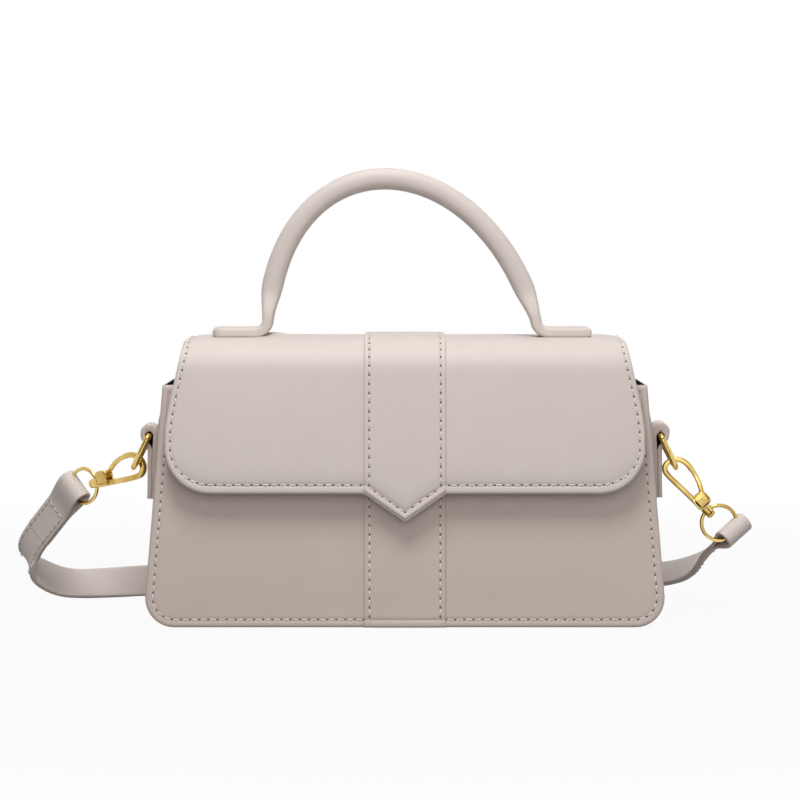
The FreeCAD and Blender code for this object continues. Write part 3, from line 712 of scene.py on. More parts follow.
@dataclass
class BagShell:
    """Front and back panels, gusset, lining, centre band and side tabs."""

    base_half: float = 105.8
    rim_half: float = 99.0
    rim: float = 98.0
    corner: float = 12.0
    front_base: float = -33.8256
    back_base: float = 35.7744
    lean: float = math.tan(math.radians(6.6))
    panel: float = 3.0
    gusset: float = 2.2
    lining: float = 0.8
    lining_top: float = 97.9
    board_top: float = 4.0
    back_top: float = 113.5
    shoulder_half: float = 89.0
    band_half: float = 16.7
    band: float = 1.2
    edge_round: float = 1.3
    stitch_inset: float = 3.2
    groove: float = 0.35
    puff: float = 0.5
    pinch: float = 2.2
    pinch_from: float = 82.0
    bulge: float = 1.55
    arch: float = 1.2
    skive: float = 0.65
    tuck: float = 3.4
    seam: Seam = field(default_factory=Seam)

    def half_width(self, z: Array, inset: float = 0.0) -> Array:
        """Half width of the outline at a height: a corner arc, a leaning side, then the back's shoulder."""
        z = np.asarray(z, float)
        radius = self.corner - inset
        arc = self.base_half - self.corner + np.sqrt(np.maximum(radius ** 2 - (self.corner - z) ** 2, 0.0))
        slope = (self.base_half - self.rim_half) / (self.rim - self.corner)
        side = self.base_half - inset - slope * (z - self.corner)
        fall = (self.rim_half - self.shoulder_half) / (self.back_top - self.rim)
        above = self.rim_half - inset - fall * (z - self.rim)
        return np.where(z < self.corner, arc, np.where(z > self.rim, above, side))

    def tucked(self, z: Array) -> Array:
        """How far the upper back corners are drawn in: tuck * two S-steps of height."""
        return self.tuck * smooth(80.0, 98.0, z) * (1.0 - smooth(103.0, self.back_top, z))

    def inset(self, x: Array, z: Array, top: float) -> Array:
        """Distance inside the outline: the least of those to the side, the base, the corner arc and the top."""
        x, z = np.broadcast_arrays(np.abs(x), z)
        out = x - (self.base_half - self.corner)
        down = self.corner - z
        in_corner = (out > 0) & (down > 0)
        straight = np.minimum(np.where(down > 0, np.inf, self.half_width(z) - x), z)
        near = np.where(in_corner, self.corner - np.hypot(out, down), straight)
        return np.maximum(np.minimum(near, top - z), 0.0)

    def front_y(self, z: Array) -> Array:
        """Y of the front panel's flat outer face."""
        return self.front_base + self.lean * np.asarray(z, float)

    def back_y(self, z: Array) -> Array:
        """Y of the back panel's flat outer face."""
        return self.back_base - self.lean * np.asarray(z, float)

    def relief(self, x: Array, z: Array, top: float) -> Array:
        """Height of a panel's leather over its flat face: round edge, groove at the seam, soft field."""
        d = self.inset(x, z, top)
        field_rise = self.puff * smooth(self.stitch_inset, 24.0, d)
        return field_rise - rounded(d, self.edge_round) - self.groove * bell(d, self.stitch_inset, 0.55)

    def panel_grid(self, top: float) -> tuple[Array, Array]:
        """X and Z over a panel: rows at graded heights, columns at graded shares of the half width there."""
        z = graded(top, EDGE_MARKS, 2.6)[:, None]
        share = graded(2 * self.base_half, EDGE_MARKS, 3.2)[None, :] / self.base_half - 1.0
        return share * self.half_width(z), np.broadcast_to(z, (z.shape[0], share.shape[1]))

    def make_panels(self, looks: Finishes) -> list[bpy.types.Object]:
        """Front and back panels as closed slabs whose outer faces carry the relief."""
        made = []
        for name, top, facing in (("front_panel", self.rim, -1.0), ("back_panel", self.back_top, 1.0)):
            x, z = self.panel_grid(top)
            plane = self.front_y(z) if facing < 0 else self.back_y(z)
            relief = self.relief(x, z, top)
            if facing > 0:
                x = x * (1.0 - self.tucked(z) / self.half_width(z))
            outer = np.stack([x, plane + facing * relief, z], axis=-1)
            inner = np.stack([x, plane - facing * self.panel, z], axis=-1)
            patch = Patchwork()
            patch.slab(outer, inner)
            # The panels wear the body leather, whose darker colour is painted shade
            piece = patch.build(name + "_leather", [looks.body])
            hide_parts(name)
            made.append(piece)
        return made

    def make_band(self, looks: Finishes) -> bpy.types.Object:
        """Centre band on the front panel: a strip that follows the panel's relief, with round sides."""
        z = graded(self.rim - 0.4, EDGE_MARKS, 2.6)[:, None]
        x = graded(2 * self.band_half, EDGE_MARKS[:14], 1.8)[None, :] - self.band_half
        x, z = np.broadcast_arrays(x, z)
        d = self.band_half - np.abs(x)
        base = self.relief(x, z, self.rim)
        rise = self.band - rounded(d, 0.8) - 0.3 * bell(d, 2.3, 0.5) + 0.15 * smooth(2.3, 9.0, d)
        patch = Patchwork()
        patch.slab(np.stack([x, self.front_y(z) - base - rise, z], axis=-1),
                   np.stack([x, self.front_y(z) - base + 0.25, z], axis=-1))
        # The band wears the body leather, whose darker colour is painted shade
        piece = patch.build("front_band_leather", [looks.body])
        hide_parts("front_band")
        return piece

    def strip_line(self, inset: float, top: float, floor: float) -> Array:
        """Line of the gusset from the front: down the left side, round, along the floor and up the right."""
        radius = self.corner - inset
        low = math.asin(min(1.0, (self.corner - floor) / radius))
        turn = np.linspace(0.0, low, 13)
        heights = np.concatenate([top - EDGE_MARKS[:10], np.linspace(top - 5.0, self.corner + 1.0, 44)])
        side = np.stack([self.half_width(heights, inset), heights], axis=-1)
        arc = np.stack([self.base_half - self.corner + radius * np.cos(turn),
                        self.corner - radius * np.sin(turn)], axis=-1)
        flat = np.linspace(arc[-1, 0], 0.0, 30)[1:]
        half = np.concatenate([side, arc, np.stack([flat, np.full_like(flat, floor)], axis=-1)])
        return np.concatenate([half * [-1, 1], half[-2::-1]])

    def strip(self, inset: float, thick: float, top: float, floor: float) -> tuple[Array, Array]:
        """Gusset strip: its line carried across the bag's depth, swelling at the tabs and drawn in above them.

        Inward draw = (pinch * S-step of height - bulge * two S-steps) * (1 - |q|^n), q from -1 at the front
        to 1 at the back, n = 1.7 for the pinch and 4 for the bulge. Near the rim the leather thins by skive and
        its top edge rises by arch * (1 - q^2).

        Args:
            inset: depth of its outer face under the outline.
            thick: its thickness.
            top: its upper end.
            floor: height of its outer face at the base.

        Returns:
            Outer and inner grids.
        """
        line = self.strip_line(inset, top, floor)
        run = tangents(line)
        inward = np.stack([-run[:, 1], run[:, 0]], axis=-1)
        q = (graded(2.0, EDGE_MARKS[:8] / 30.0, 0.09) - 1.0)[None, :]
        x, z = line[:, :1], line[:, 1:]
        low, high = self.front_y(z) + self.panel - 0.2, self.back_y(z) - self.panel + 0.2
        draw = self.pinch * smooth(self.pinch_from, self.rim, z) * (1.0 - np.abs(q) ** 1.7)
        swell = smooth(44.0, 76.0, z) * (1.0 - smooth(80.0, 94.0, z))
        draw = draw - self.bulge * swell * (1.0 - np.abs(q) ** 4) + self.tucked(z) * smooth(0.0, 1.0, q)
        y = (low + high) / 2 + q * (high - low) / 2
        thin = self.skive * smooth(88.0, 97.0, z)
        draw = draw - inset * thin
        curl = rounded(top - z, thick * 0.4 * (1.0 - self.skive))
        rise = self.arch * smooth(86.0, self.rim, z) * (1.0 - q * q)
        sheets = []
        for depth in (draw + curl, draw + thick * (1.0 - thin) - curl):
            sheets.append(np.stack(np.broadcast_arrays(x + inward[:, :1] * depth, y,
                                                       z + inward[:, 1:] * depth + rise), axis=-1))
        return sheets[0], sheets[1]

    def make_gusset(self, looks: Finishes) -> bpy.types.Object:
        """Leather strip down both sides and under the base."""
        patch = Patchwork()
        patch.slab(*self.strip(0.0, self.gusset, self.rim, 0.0))
        # The gusset wears the body leather, whose darker colour is painted shade
        piece = patch.build("gusset_leather", [looks.body])
        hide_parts("gusset")
        return piece

    def make_lining(self, looks: Finishes) -> bpy.types.Object:
        """Cloth lining: a strip inside the gusset and two sheets inside the panels."""
        patch = Patchwork()
        patch.slab(*self.strip(self.gusset + 0.05, self.lining - 0.1, self.lining_top, self.board_top + 0.05))
        z = (self.board_top + 0.1 + graded(self.lining_top - self.board_top - 0.1, EDGE_MARKS, 4.0))[:, None]
        share = graded(2.0, EDGE_MARKS / 100.0, 0.05)[None, :] - 1.0
        x = share * (self.half_width(z, self.gusset) - 0.2)
        for plane, facing in ((self.front_y(z) + self.panel, 1.0), (self.back_y(z) - self.panel, -1.0)):
            x = x * (1.0 - (facing < 0) * self.tucked(z) / self.half_width(z))
            ripple = 0.12 * np.sin(x / 17.0) * smooth(0.0, 20.0, self.lining_top - z)
            sides = [np.stack(np.broadcast_arrays(x, plane + facing * (depth + ripple), z), axis=-1)
                     for depth in (0.2, self.lining)]
            patch.slab(*sides)
        piece = patch.build("lining_cloth_bag", [looks.lining])
        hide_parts("lining")
        return piece

    def outline(self, d: float, top: float) -> Array:
        """Line inside a panel's outline at an even distance d: down one side, along the base, up the other."""
        radius = self.corner - d
        turn = np.linspace(0.0, math.pi / 2, 16)
        heights = np.linspace(top, self.corner, 60)
        side = np.stack([self.half_width(heights) - d, heights], axis=-1)
        arc = np.stack([self.base_half - self.corner + radius * np.cos(turn),
                        self.corner - radius * np.sin(turn)], axis=-1)
        half = np.concatenate([side, arc[1:]])
        return np.concatenate([half * [-1, 1], half[::-1]])

    def sew_on_panel(self, patch: Patchwork, line: Array, facing: float, top: float, lift: float = 0.0) -> None:
        """Stitches along a line given as (x, z) on the front (-1) or back (+1) panel's relief."""
        line = resample(line, 0.9)
        x, z = line[:, 0], line[:, 1]
        plane = self.front_y(z) if facing < 0 else self.back_y(z)
        points = np.stack([x, plane + facing * (self.relief(x, z, top) + lift), z], axis=-1)
        normal = unit(np.array([0.0, facing, self.lean]))
        self.seam.sew(patch, points, np.broadcast_to(normal, points.shape))

    def make_stitches(self, looks: Finishes) -> bpy.types.Object:
        """Edge seams of both panels and the two seams of the centre band."""
        patch = Patchwork()
        self.sew_on_panel(patch, self.outline(self.stitch_inset, self.rim - 14.0), -1.0, self.rim)
        self.sew_on_panel(patch, self.outline(self.stitch_inset, self.rim - 1.0), 1.0, self.back_top)
        x = self.band_half - 2.3
        for side in (-1.0, 1.0):
            line = np.array([[side * x, 4.6], [side * x, self.rim - 5.0]])
            self.sew_on_panel(patch, line, -1.0, self.rim, self.band - 0.3)
        return patch.build("panel_stitches", [looks.thread, looks.hole])

    def make(self, looks: Finishes) -> None:
        """Build every piece of the shell and set it on the bag's body."""
        pieces = self.make_panels(looks)
        pieces += [self.make_band(looks), self.make_gusset(looks), self.make_stitches(looks)]
        cloth = self.make_lining(looks)
        for piece in pieces + [cloth]:
            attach(piece, Body.BAG.value)


@dataclass
class SideTab:
    """Folded leather loop on a gusset that holds a D-ring: side is -1 at the left and +1 at the right."""

    side: float
    name: str
    bar_x: float = 105.8338
    bar_z: float = 76.2
    slope: float = math.atan(6.0 / 86.0)
    hole: float = 1.7
    layer: float = 1.85
    taper: float = 6.5
    width: float = 13.0
    bottom: float = 50.0
    crown: float = 1.05
    lie: float = 1.0

    def line(self) -> Array:
        """Line of the strip about the bar, as (out, up): up the gusset, half round the bar, down to the wall.

        The outer layer's distance falls along an S-step over the taper until it lies on the inner layer, and
        both lie closer to the bag by lie at the bottom.
        """
        length = (self.bar_z - self.bottom) / math.cos(self.slope)
        radius = self.hole + self.layer / 2
        low = np.linspace(-length, -0.4, 30)
        inner = np.stack([-radius - self.lie * smooth(4.0, length, -low), low], axis=-1)
        turn = np.linspace(math.pi, 0.0, 25)
        arch = np.stack([radius * np.cos(turn), (radius + self.crown / 2) * np.sin(turn)], axis=-1)
        z = np.linspace(-0.4, -length, 60)
        rest = -radius + self.layer + 0.04 - self.lie * smooth(4.0, length, -z)
        outer = np.stack([rest + (radius - rest) * (1.0 - smooth(0.0, self.taper, -z)), z], axis=-1)
        return np.concatenate([inner, arch, outer])

    def place(self, flat: Array, y: Array) -> Array:
        """Points of the bag's frame for (out, up) about the bar and y."""
        c, s = math.cos(self.slope), math.sin(self.slope)
        out, up = flat[:, 0], flat[:, 1]
        x = self.side * (self.bar_x + out * c - up * s)
        return np.stack([x, np.broadcast_to(y, x.shape), self.bar_z + out * s + up * c], axis=-1)

    def make(self, looks: Finishes) -> None:
        """Build the loop, thicker by crown over the bar, with painted shade inside it, and set it on the bag's
        body.
        """
        flat = resample(self.line(), 0.5)
        path = self.place(flat, 0.0)
        run = tangents(path)
        across = np.broadcast_to([0.0, 1.0, 0.0], run.shape)
        out = unit(np.cross(run, across))
        section = strip_profile(self.width, self.layer, 0.6)
        swell = 1.0 + self.crown / self.layer * smooth(-0.5, self.hole + self.layer / 2, flat[:, 1])[:, None]
        layers = np.stack(np.broadcast_arrays(section[:, 0], section[:, 1] * swell), axis=-1)
        patch = Patchwork()
        rings = capped(sweep(path, across, out, layers))
        edge = np.broadcast_to(np.abs(section[:, 0]) > self.width / 2 - 0.2, rings.shape[:2])
        patch.grid(rings, (False, True), edge * 0.8)
        # Painted shade: the loop's inner face and a web across its opening wear the black lining cloth, so the
        # opening reads dark
        reach = np.array([0.5 - self.width / 2, self.width / 2 - 0.5])
        hidden = -self.side * (self.layer / 2 * swell + 0.02)
        patch.grid(sweep(path, across, out, np.stack(np.broadcast_arrays(reach, hidden), axis=-1)), finish=1)
        shade_web = np.stack([path, path[::-1]], axis=1)[:len(path) // 2] + [0.0, self.width / 2 - 0.6, 0.0]
        patch.grid(shade_web, finish=1)
        tab = patch.build(self.name + "_tab_leather", [looks.leather, looks.lining])
        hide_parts(self.name + "_side_tab")
        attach(tab, Body.BAG.value)


def to_segment(x: Array, s: Array, first: tuple[float, float], last: tuple[float, float]) -> Array:
    """Distance from points (x, s) to a straight segment."""
    run = np.subtract(last, first)
    t = np.clip(((x - first[0]) * run[0] + (s - first[1]) * run[1]) / np.dot(run, run), 0.0, 1.0)
    return np.hypot(x - first[0] - t * run[0], s - first[1] - t * run[1])


@dataclass
class Flap:
    """Flap leather with its turned edge, its lining and the centre band that ends in a point.

    The leather is laid out flat as (x, s): s runs from its sewn tail on the back panel, up round the hinge,
    along the top, over the front fold and down to the lower edge.
    """

    shell: BagShell
    top: float = 116.4
    fold_radius: float = 14.0
    skin_base: float = -39.743
    edge: float = 54.5
    corner: float = 18.5
    half: float = 97.5
    tip: float = 43.0
    leather: float = 1.6
    lining: float = 1.0
    band: float = 1.0
    tail_bottom: float = 101.0
    tail_gap: float = 0.45
    hinge_bend: float = 4.4
    edge_round: float = 1.25
    stitch_inset: float = 2.3
    groove: float = 0.42
    puff: float = 2.8
    plump: float = 0.45
    lip: float = 1.3
    band_margin: float = 1.2
    foot_bulge: float = 1.9
    foot_x: float = -54.0
    foot_y: float = 2.0
    seam: Seam = field(default_factory=Seam)
    blend_start: tuple[float, float, float] = (0.0, 0.0236, 0.1119)
    blend_end: tuple[float, float, float] = (0.0, 0.0176, 0.1149)

    def __post_init__(self) -> None:
        """Work out the skin's line in (y, z), its marks and the flat layout's main distances."""
        lean = self.shell.lean
        slant = math.cos(math.atan(lean))
        self.lean = lean
        fold_z = self.top - self.fold_radius
        fold_y = self.skin_base + lean * fold_z + self.fold_radius / slant
        away = self.tail_gap + self.leather
        heel = np.array([self.shell.back_y(self.top) + away, self.top])
        rise = np.array([-lean, 1.0]) * slant
        tail = np.array([self.shell.back_y(self.tail_bottom) + away, self.tail_bottom])
        t = np.linspace(0.0, 1.0, 25)[:, None]
        low, high = heel - rise * self.hinge_bend, heel + np.array([-self.hinge_bend, 0.0])
        bend = low * (1 - t) ** 2 + heel * (2 * t * (1 - t)) + high * t ** 2
        turn = np.linspace(math.pi / 2, math.pi - math.atan(lean), 60)
        fold = np.stack([np.cos(turn), np.sin(turn)], axis=-1) * self.fold_radius + [fold_y, fold_z]
        end_z = self.tip - 4.0
        end = np.array([self.skin_base + lean * end_z, end_z])
        self.line = resample(np.concatenate([[tail], bend, fold, [end]]), 0.25)
        self.marks = run_length(self.line)
        run = tangents(self.line)
        self.normal = np.stack([run[:, 1], -run[:, 0]], axis=-1)
        front = np.argmax(self.line[:, 0] < fold_y)
        self.s_top = float(self.marks[np.argmax(self.line[:, 1] > self.top - 0.01)])
        self.s_fold = float(self.marks[front])
        self.s_corner = self.s_at(self.edge + self.corner)
        self.s_edge = self.s_at(self.edge)
        self.s_tip = self.s_at(self.tip)

    def s_at(self, z: float) -> float:
        """Distance s at a height on the hanging front."""
        hanging = self.marks > self.s_fold
        return float(np.interp(-z, -self.line[hanging][:, 1], self.marks[hanging]))

    def half_width(self, s: Array) -> Array:
        """Half width at a distance s, above the lower corners: it widens from the hinge to the corners."""
        z = np.interp(s, self.marks, self.line[:, 1])
        z = np.where(s < self.s_fold, self.top, z)
        heights = [73.0, 80.0, 86.0, 95.0, 103.2, 106.6, 109.9, 113.1, 115.4, 116.4]
        widths = [97.5, 97.4, 96.6, 94.9, 93.0, 92.3, 91.6, 91.0, 90.6, 90.3]
        return np.interp(z, heights, widths)

    def place(self, x: Array, s: Array, height: Array) -> Array:
        """Points of the bag's frame at a height over the skin's line."""
        x, s, height = np.broadcast_arrays(x, s, height)
        y, z, ny, nz = (np.interp(s, self.marks, column) for column in
                        (self.line[:, 0], self.line[:, 1], self.normal[:, 0], self.normal[:, 1]))
        return np.stack([x, y + ny * height, z + nz * height], axis=-1)

    def facing(self, s: Array) -> Array:
        """Outward directions of the skin at distances s."""
        return np.stack([np.zeros_like(s), np.interp(s, self.marks, self.normal[:, 0]),
                         np.interp(s, self.marks, self.normal[:, 1])], axis=-1)

    def layout(self, start: float, shrink: float = 0.0) -> tuple[Array, Array]:
        """Flat layout of the flap as rows and columns, from s = start to the lower edge and point.

        Upper rows are level; from the corners down the rows follow the corner arcs and are drawn down into
        the point by (1 - |x| / band half width) * t^1.5, t from 0 at the corners to 1 at the edge.

        Args:
            start: s of the first row.
            shrink: how far the outline lies inside the flap's own.

        Returns:
            x and s, each rows x columns.
        """
        half_band = self.shell.band_half
        flat = self.half - self.corner
        v = np.linspace(0.0, half_band / flat, 13)
        field_share = np.linspace(half_band / flat, 1.0 - 9.5 / flat, 16)
        rim = 1.0 - EDGE_MARKS[::-1] / flat
        share = np.unique(np.round(np.concatenate([v, field_share, rim]), 9))
        share = np.concatenate([-share[:0:-1], share])
        span = self.s_corner - start
        upper = start + np.unique(np.round(np.concatenate(
            [EDGE_MARKS, np.arange(9.5, 22.0, 0.8), np.linspace(22.0, span, 62)]), 9))
        x_upper = share[None, :] * (self.half_width(upper)[:, None] - shrink)
        s_upper = np.broadcast_to(upper[:, None], x_upper.shape)
        radius = self.corner - shrink
        drop = np.unique(np.round(np.concatenate([np.linspace(0.0, radius - 9.5, 6)[1:],
                                                  radius - EDGE_MARKS[::-1]]), 9))
        drop = drop[drop > 0.2][:, None]
        x_lower = share[None, :] * (flat + np.sqrt(np.maximum(radius ** 2 - drop ** 2, 0.0)))
        point = np.maximum(0.0, 1.0 - np.abs(x_lower) / half_band) * (self.s_tip - self.s_edge)
        s_lower = self.s_corner + drop + point * (drop / radius) ** 1.5
        return np.concatenate([x_upper, x_lower]), np.concatenate([s_upper, s_lower])

    def inset(self, x: Array, s: Array) -> Array:
        """Distance inside the flap's outline on the flat layout."""
        x, s = np.broadcast_arrays(np.abs(x), s)
        flat = self.half - self.corner
        half_band = self.shell.band_half
        low = np.minimum(to_segment(x, s, (half_band, self.s_edge), (flat, self.s_edge)),
                         to_segment(x, s, (0.0, self.s_tip), (half_band, self.s_edge)))
        out, down = x - flat, s - self.s_corner
        arc = np.where((out > 0) & (down > 0), self.corner - np.hypot(out, down), np.inf)
        side = np.where(down > 0, np.inf, self.half_width(s) - x)
        return np.maximum(np.minimum(np.minimum(low, arc), np.minimum(side, s)), 0.0)

    def relief(self, x: Array, s: Array) -> Array:
        """Height of the leather over the skin's line: turned edge, seam groove, soft field, foot bulge."""
        d = self.inset(x, s)
        field_rise = self.padding(s) + self.plump * smooth(self.stitch_inset, 9.0, d)
        y = np.interp(s, self.marks, self.line[:, 0])
        foot = bell(x, self.foot_x, 6.0) * bell(y, self.foot_y, 9.0) * (s > self.s_top)
        return (field_rise + self.foot_bulge * foot - rounded(d, self.edge_round)
                - self.groove * bell(d, self.seam_at(s), 0.6))

    def padding(self, s: Array) -> Array:
        """Padding's thickness on the hanging front: puff * (1 - (1 - t)^2), t from the fold to the edge."""
        t = np.clip((s - self.s_fold) / (self.s_edge - self.s_fold), 0.0, 1.0)
        return self.puff * (1.0 - (1.0 - t) ** 2)

    def seam_at(self, s: Array) -> Array:
        """Distance of the seam from the outline: wider along the lower lip."""
        return self.stitch_inset + self.lip * smooth(self.s_corner, self.s_edge, s)

    def make_skin(self, looks: Finishes) -> bpy.types.Object:
        """Outer leather from the tail on the back to the point, one slab with a turned edge."""
        x, s = self.layout(0.0)
        patch = Patchwork()
        patch.slab(self.place(x, s, self.relief(x, s)), self.place(x, s, self.padding(s) / 2 - self.leather))
        piece = patch.build("flap_leather", [looks.leather])
        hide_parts("flap_outer")
        return piece

    def make_lining(self, looks: Finishes) -> bpy.types.Object:
        """Thin leather under the flap, a little smaller all round."""
        x, s = self.layout(self.s_top + 4.0, 0.5)
        patch = Patchwork()
        patch.slab(self.place(x, s, np.full_like(s, -self.leather - self.lining)),
                   self.place(x, s, self.padding(s) / 2 - self.leather + 0.15))
        piece = patch.build("flap_lining_leather_piece", [looks.reverse])
        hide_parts("flap_lining")
        return piece

    def band_low(self, x: Array) -> Array:
        """S of the band's pointed lower end."""
        half = self.shell.band_half
        reach = (self.s_tip - self.s_edge) * (1.0 - np.abs(x) / half)
        return self.s_edge + reach - self.band_margin

    def make_band(self, looks: Finishes) -> bpy.types.Object:
        """Centre band: a strip on the flap's relief with round sides; its columns end on the point's edges."""
        half = self.shell.band_half
        x = graded(2 * half, EDGE_MARKS[:14], 1.6) - half
        x = np.sort(np.append(x, 0.0))[None, :] if not np.any(np.abs(x) < 1e-6) else x[None, :]
        share = graded(1.0, EDGE_MARKS / 180.0, 0.0095)[:, None]
        s = self.band_margin + share * (self.band_low(x) - self.band_margin)
        x = np.broadcast_to(x, s.shape)
        slope = (self.s_tip - self.s_edge) / half
        d = np.minimum(half - np.abs(x), (self.band_low(x) - s) / math.hypot(1.0, slope))
        d = np.minimum(d, s - self.band_margin)
        base = self.relief(x, s)
        rise = self.band + 0.1 * smooth(2.2, 8.0, d) - rounded(d, 0.75) - 0.3 * bell(d, 2.2, 0.45)
        patch = Patchwork()
        patch.slab(self.place(x, s, base + rise), self.place(x, s, base - 0.2))
        piece = patch.build("flap_band_leather", [looks.leather])
        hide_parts("flap_band")
        return piece

    def make_stitches(self, looks: Finishes) -> bpy.types.Object:
        """Seams: round the flap's sides and lower edge, down both sides of the band and round its point."""
        patch = Patchwork()
        flat = self.half - self.corner
        d = self.stitch_inset
        half = self.shell.band_half
        rows = np.linspace(self.s_top + 3.0, self.s_corner, 120)
        side = np.stack([self.half_width(rows) - d, rows], axis=-1)
        turn = np.linspace(0.0, math.pi / 2, 24)[1:]
        arc = np.stack([flat + (self.corner - d) * np.cos(turn),
                        self.s_corner + (self.corner - d - self.lip) * np.sin(turn)], axis=-1)
        foot = np.array([[half + 1.2, self.s_edge - d - self.lip]])
        flap_line = np.concatenate([side, arc, foot])
        reach = half - 2.2
        slope = (self.s_tip - self.s_edge) / half
        back = 2.4 * math.hypot(1.0, slope)
        band_line = np.array([[reach, 4.0], [reach, float(self.band_low(reach)) - back],
                              [0.0, float(self.band_low(0.0)) - back]])
        tail_line = np.array([[half + 1.0, d], [self.half_width(0.0) - d - 1.0, d]])
        for line, lift in ((flap_line, 0.0), (band_line, self.band - 0.28), (tail_line, 0.0)):
            line = resample(line, 0.7)
            x, s = line[:, 0], line[:, 1]
            for mirror in (-1.0, 1.0):
                points = self.place(mirror * x, s, self.relief(mirror * x, s) + lift)
                self.seam.sew(patch, points, self.facing(s))
        return patch.build("flap_stitches", [looks.thread, looks.hole])

    def make(self, looks: Finishes) -> None:
        """Build the flap: the skin, band and stitches are baked where they are built, and the lining is set on
        the flap.
        """
        for piece in (self.make_skin(looks), self.make_band(looks), self.make_stitches(looks)):
            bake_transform(piece)
        under = self.make_lining(looks)
        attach(under, Body.FLAP.value)


@dataclass
class Handle:
    """Rolled handle: flat tabs on the flap, a bend at each foot, and a round arch that leans a little."""

    flap_top: float = 116.4
    shift: float = -1.2
    span_half: float = 55.5
    pole_rise: float = 77.8
    left_inset: float = 5.3
    right_inset: float = 24.3
    thick: float = 8.9
    wide: float = 9.1
    tab_thick: float = 4.6
    tab_width: float = 15.0
    tab_length: float = 18.0
    bend: float = 5.0
    swell_from: float = 122.5
    swell_to: float = 139.0
    left_round: float = 4.5
    right_round: float = 1.6
    seam_depth: float = 0.07

    def line(self) -> Array:
        """Middle line as (x, z): tab, quarter bend, cubic arch, quarter bend, tab."""
        tab_z = self.flap_top + self.tab_thick / 2
        foot = tab_z + self.bend
        t = np.linspace(0.0, 1.0, 140)[:, None]
        peak = foot + self.pole_rise
        poles = np.array([[-self.span_half, foot], [self.left_inset - self.span_half, peak],
                          [self.span_half - self.right_inset, peak], [self.span_half, foot]])
        arch = (poles[0] * (1 - t) ** 3 + poles[1] * (3 * t * (1 - t) ** 2)
                + poles[2] * (3 * t * t * (1 - t)) + poles[3] * t ** 3)
        turn = np.linspace(0.0, math.pi / 2, 12)
        knee = np.stack([self.span_half + self.bend * (1 - np.sin(turn)),
                         tab_z + self.bend * (1 - np.cos(turn))], axis=-1)
        end = np.array([[self.span_half + self.bend + self.tab_length, tab_z]])
        outer = np.concatenate([end, knee])
        return resample(np.concatenate([outer * [-1, 1], arch[1:-1], outer[::-1]]), 0.9) + [self.shift, 0.0]

    def make(self, looks: Finishes) -> None:
        """Build the handle: a superellipse profile whose thickness, width and power change along the line."""
        line = self.line()
        marks = run_length(line)
        fine = np.concatenate([np.linspace(0.0, 5.0, 16)[:-1], np.linspace(5.0, marks[-1] - 5.0, 300),
                               np.linspace(marks[-1] - 5.0, marks[-1], 16)[1:]])
        flat = along(line, fine)
        run = tangents(flat)
        path = np.stack([flat[:, 0], np.zeros(len(flat)), flat[:, 1]], axis=-1)
        up = np.stack([-run[:, 1], np.zeros(len(flat)), run[:, 0]], axis=-1)
        swell = smooth(self.swell_from, self.swell_to, flat[:, 1])
        left, right = fine, marks[-1] - fine
        thick = self.tab_thick + (self.thick - self.tab_thick) * swell
        thick = thick - 2 * rounded(np.minimum(left, right), self.tab_thick / 2)
        wide = self.tab_width + (self.wide - self.tab_width) * smooth(0.0, 1.0, swell)
        wide = wide - 2 * rounded(left, self.left_round) - 2 * rounded(right, self.right_round)
        power = 4.5 - 2.3 * swell
        turn = np.linspace(0.0, 2.0 * math.pi, 73)[None, :-1]
        c, s = np.cos(turn), np.sin(turn)
        ex = (2.0 / power)[:, None]
        groove = 1.0 - self.seam_depth * bell(turn, math.pi, 0.09) * swell[:, None]
        section = np.stack([np.sign(s) * np.abs(s) ** ex * wide[:, None] / 2,
                            np.sign(c) * np.abs(c) ** ex * thick[:, None] / 2 * groove], axis=-1)
        across = np.broadcast_to([0.0, 1.0, 0.0], path.shape)
        patch = Patchwork()
        patch.grid(capped(sweep(path, across, up, section)), (False, True))
        piece = patch.build("handle_leather", [looks.leather])
        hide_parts("handle_wrap", "handle_core")
        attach(piece, Body.FLAP.value)


def line_through(points: Array, step: float) -> Array:
    """Smooth flat line through points: cubic spans whose slope at a point is half the chord of its neighbours.

    Args:
        points: n x 2 points.
        step: distance between the points of the result.

    Returns:
        m x 2 points.
    """
    wide = np.concatenate([2 * points[:1] - points[1:2], points, 2 * points[-1:] - points[-2:-1]])
    p0, p1, p2, p3 = (wide[k:len(points) - 1 + k, None] for k in range(4))
    t = np.linspace(0.0, 1.0, 16)[None, :-1, None]
    spans = p1 + 0.5 * t * (p2 - p0 + t * (2 * p0 - 5 * p1 + 4 * p2 - p3 + t * (3 * (p1 - p2) + p3 - p0)))
    return resample(np.concatenate([spans.reshape(-1, 2), points[-1:]]), step)


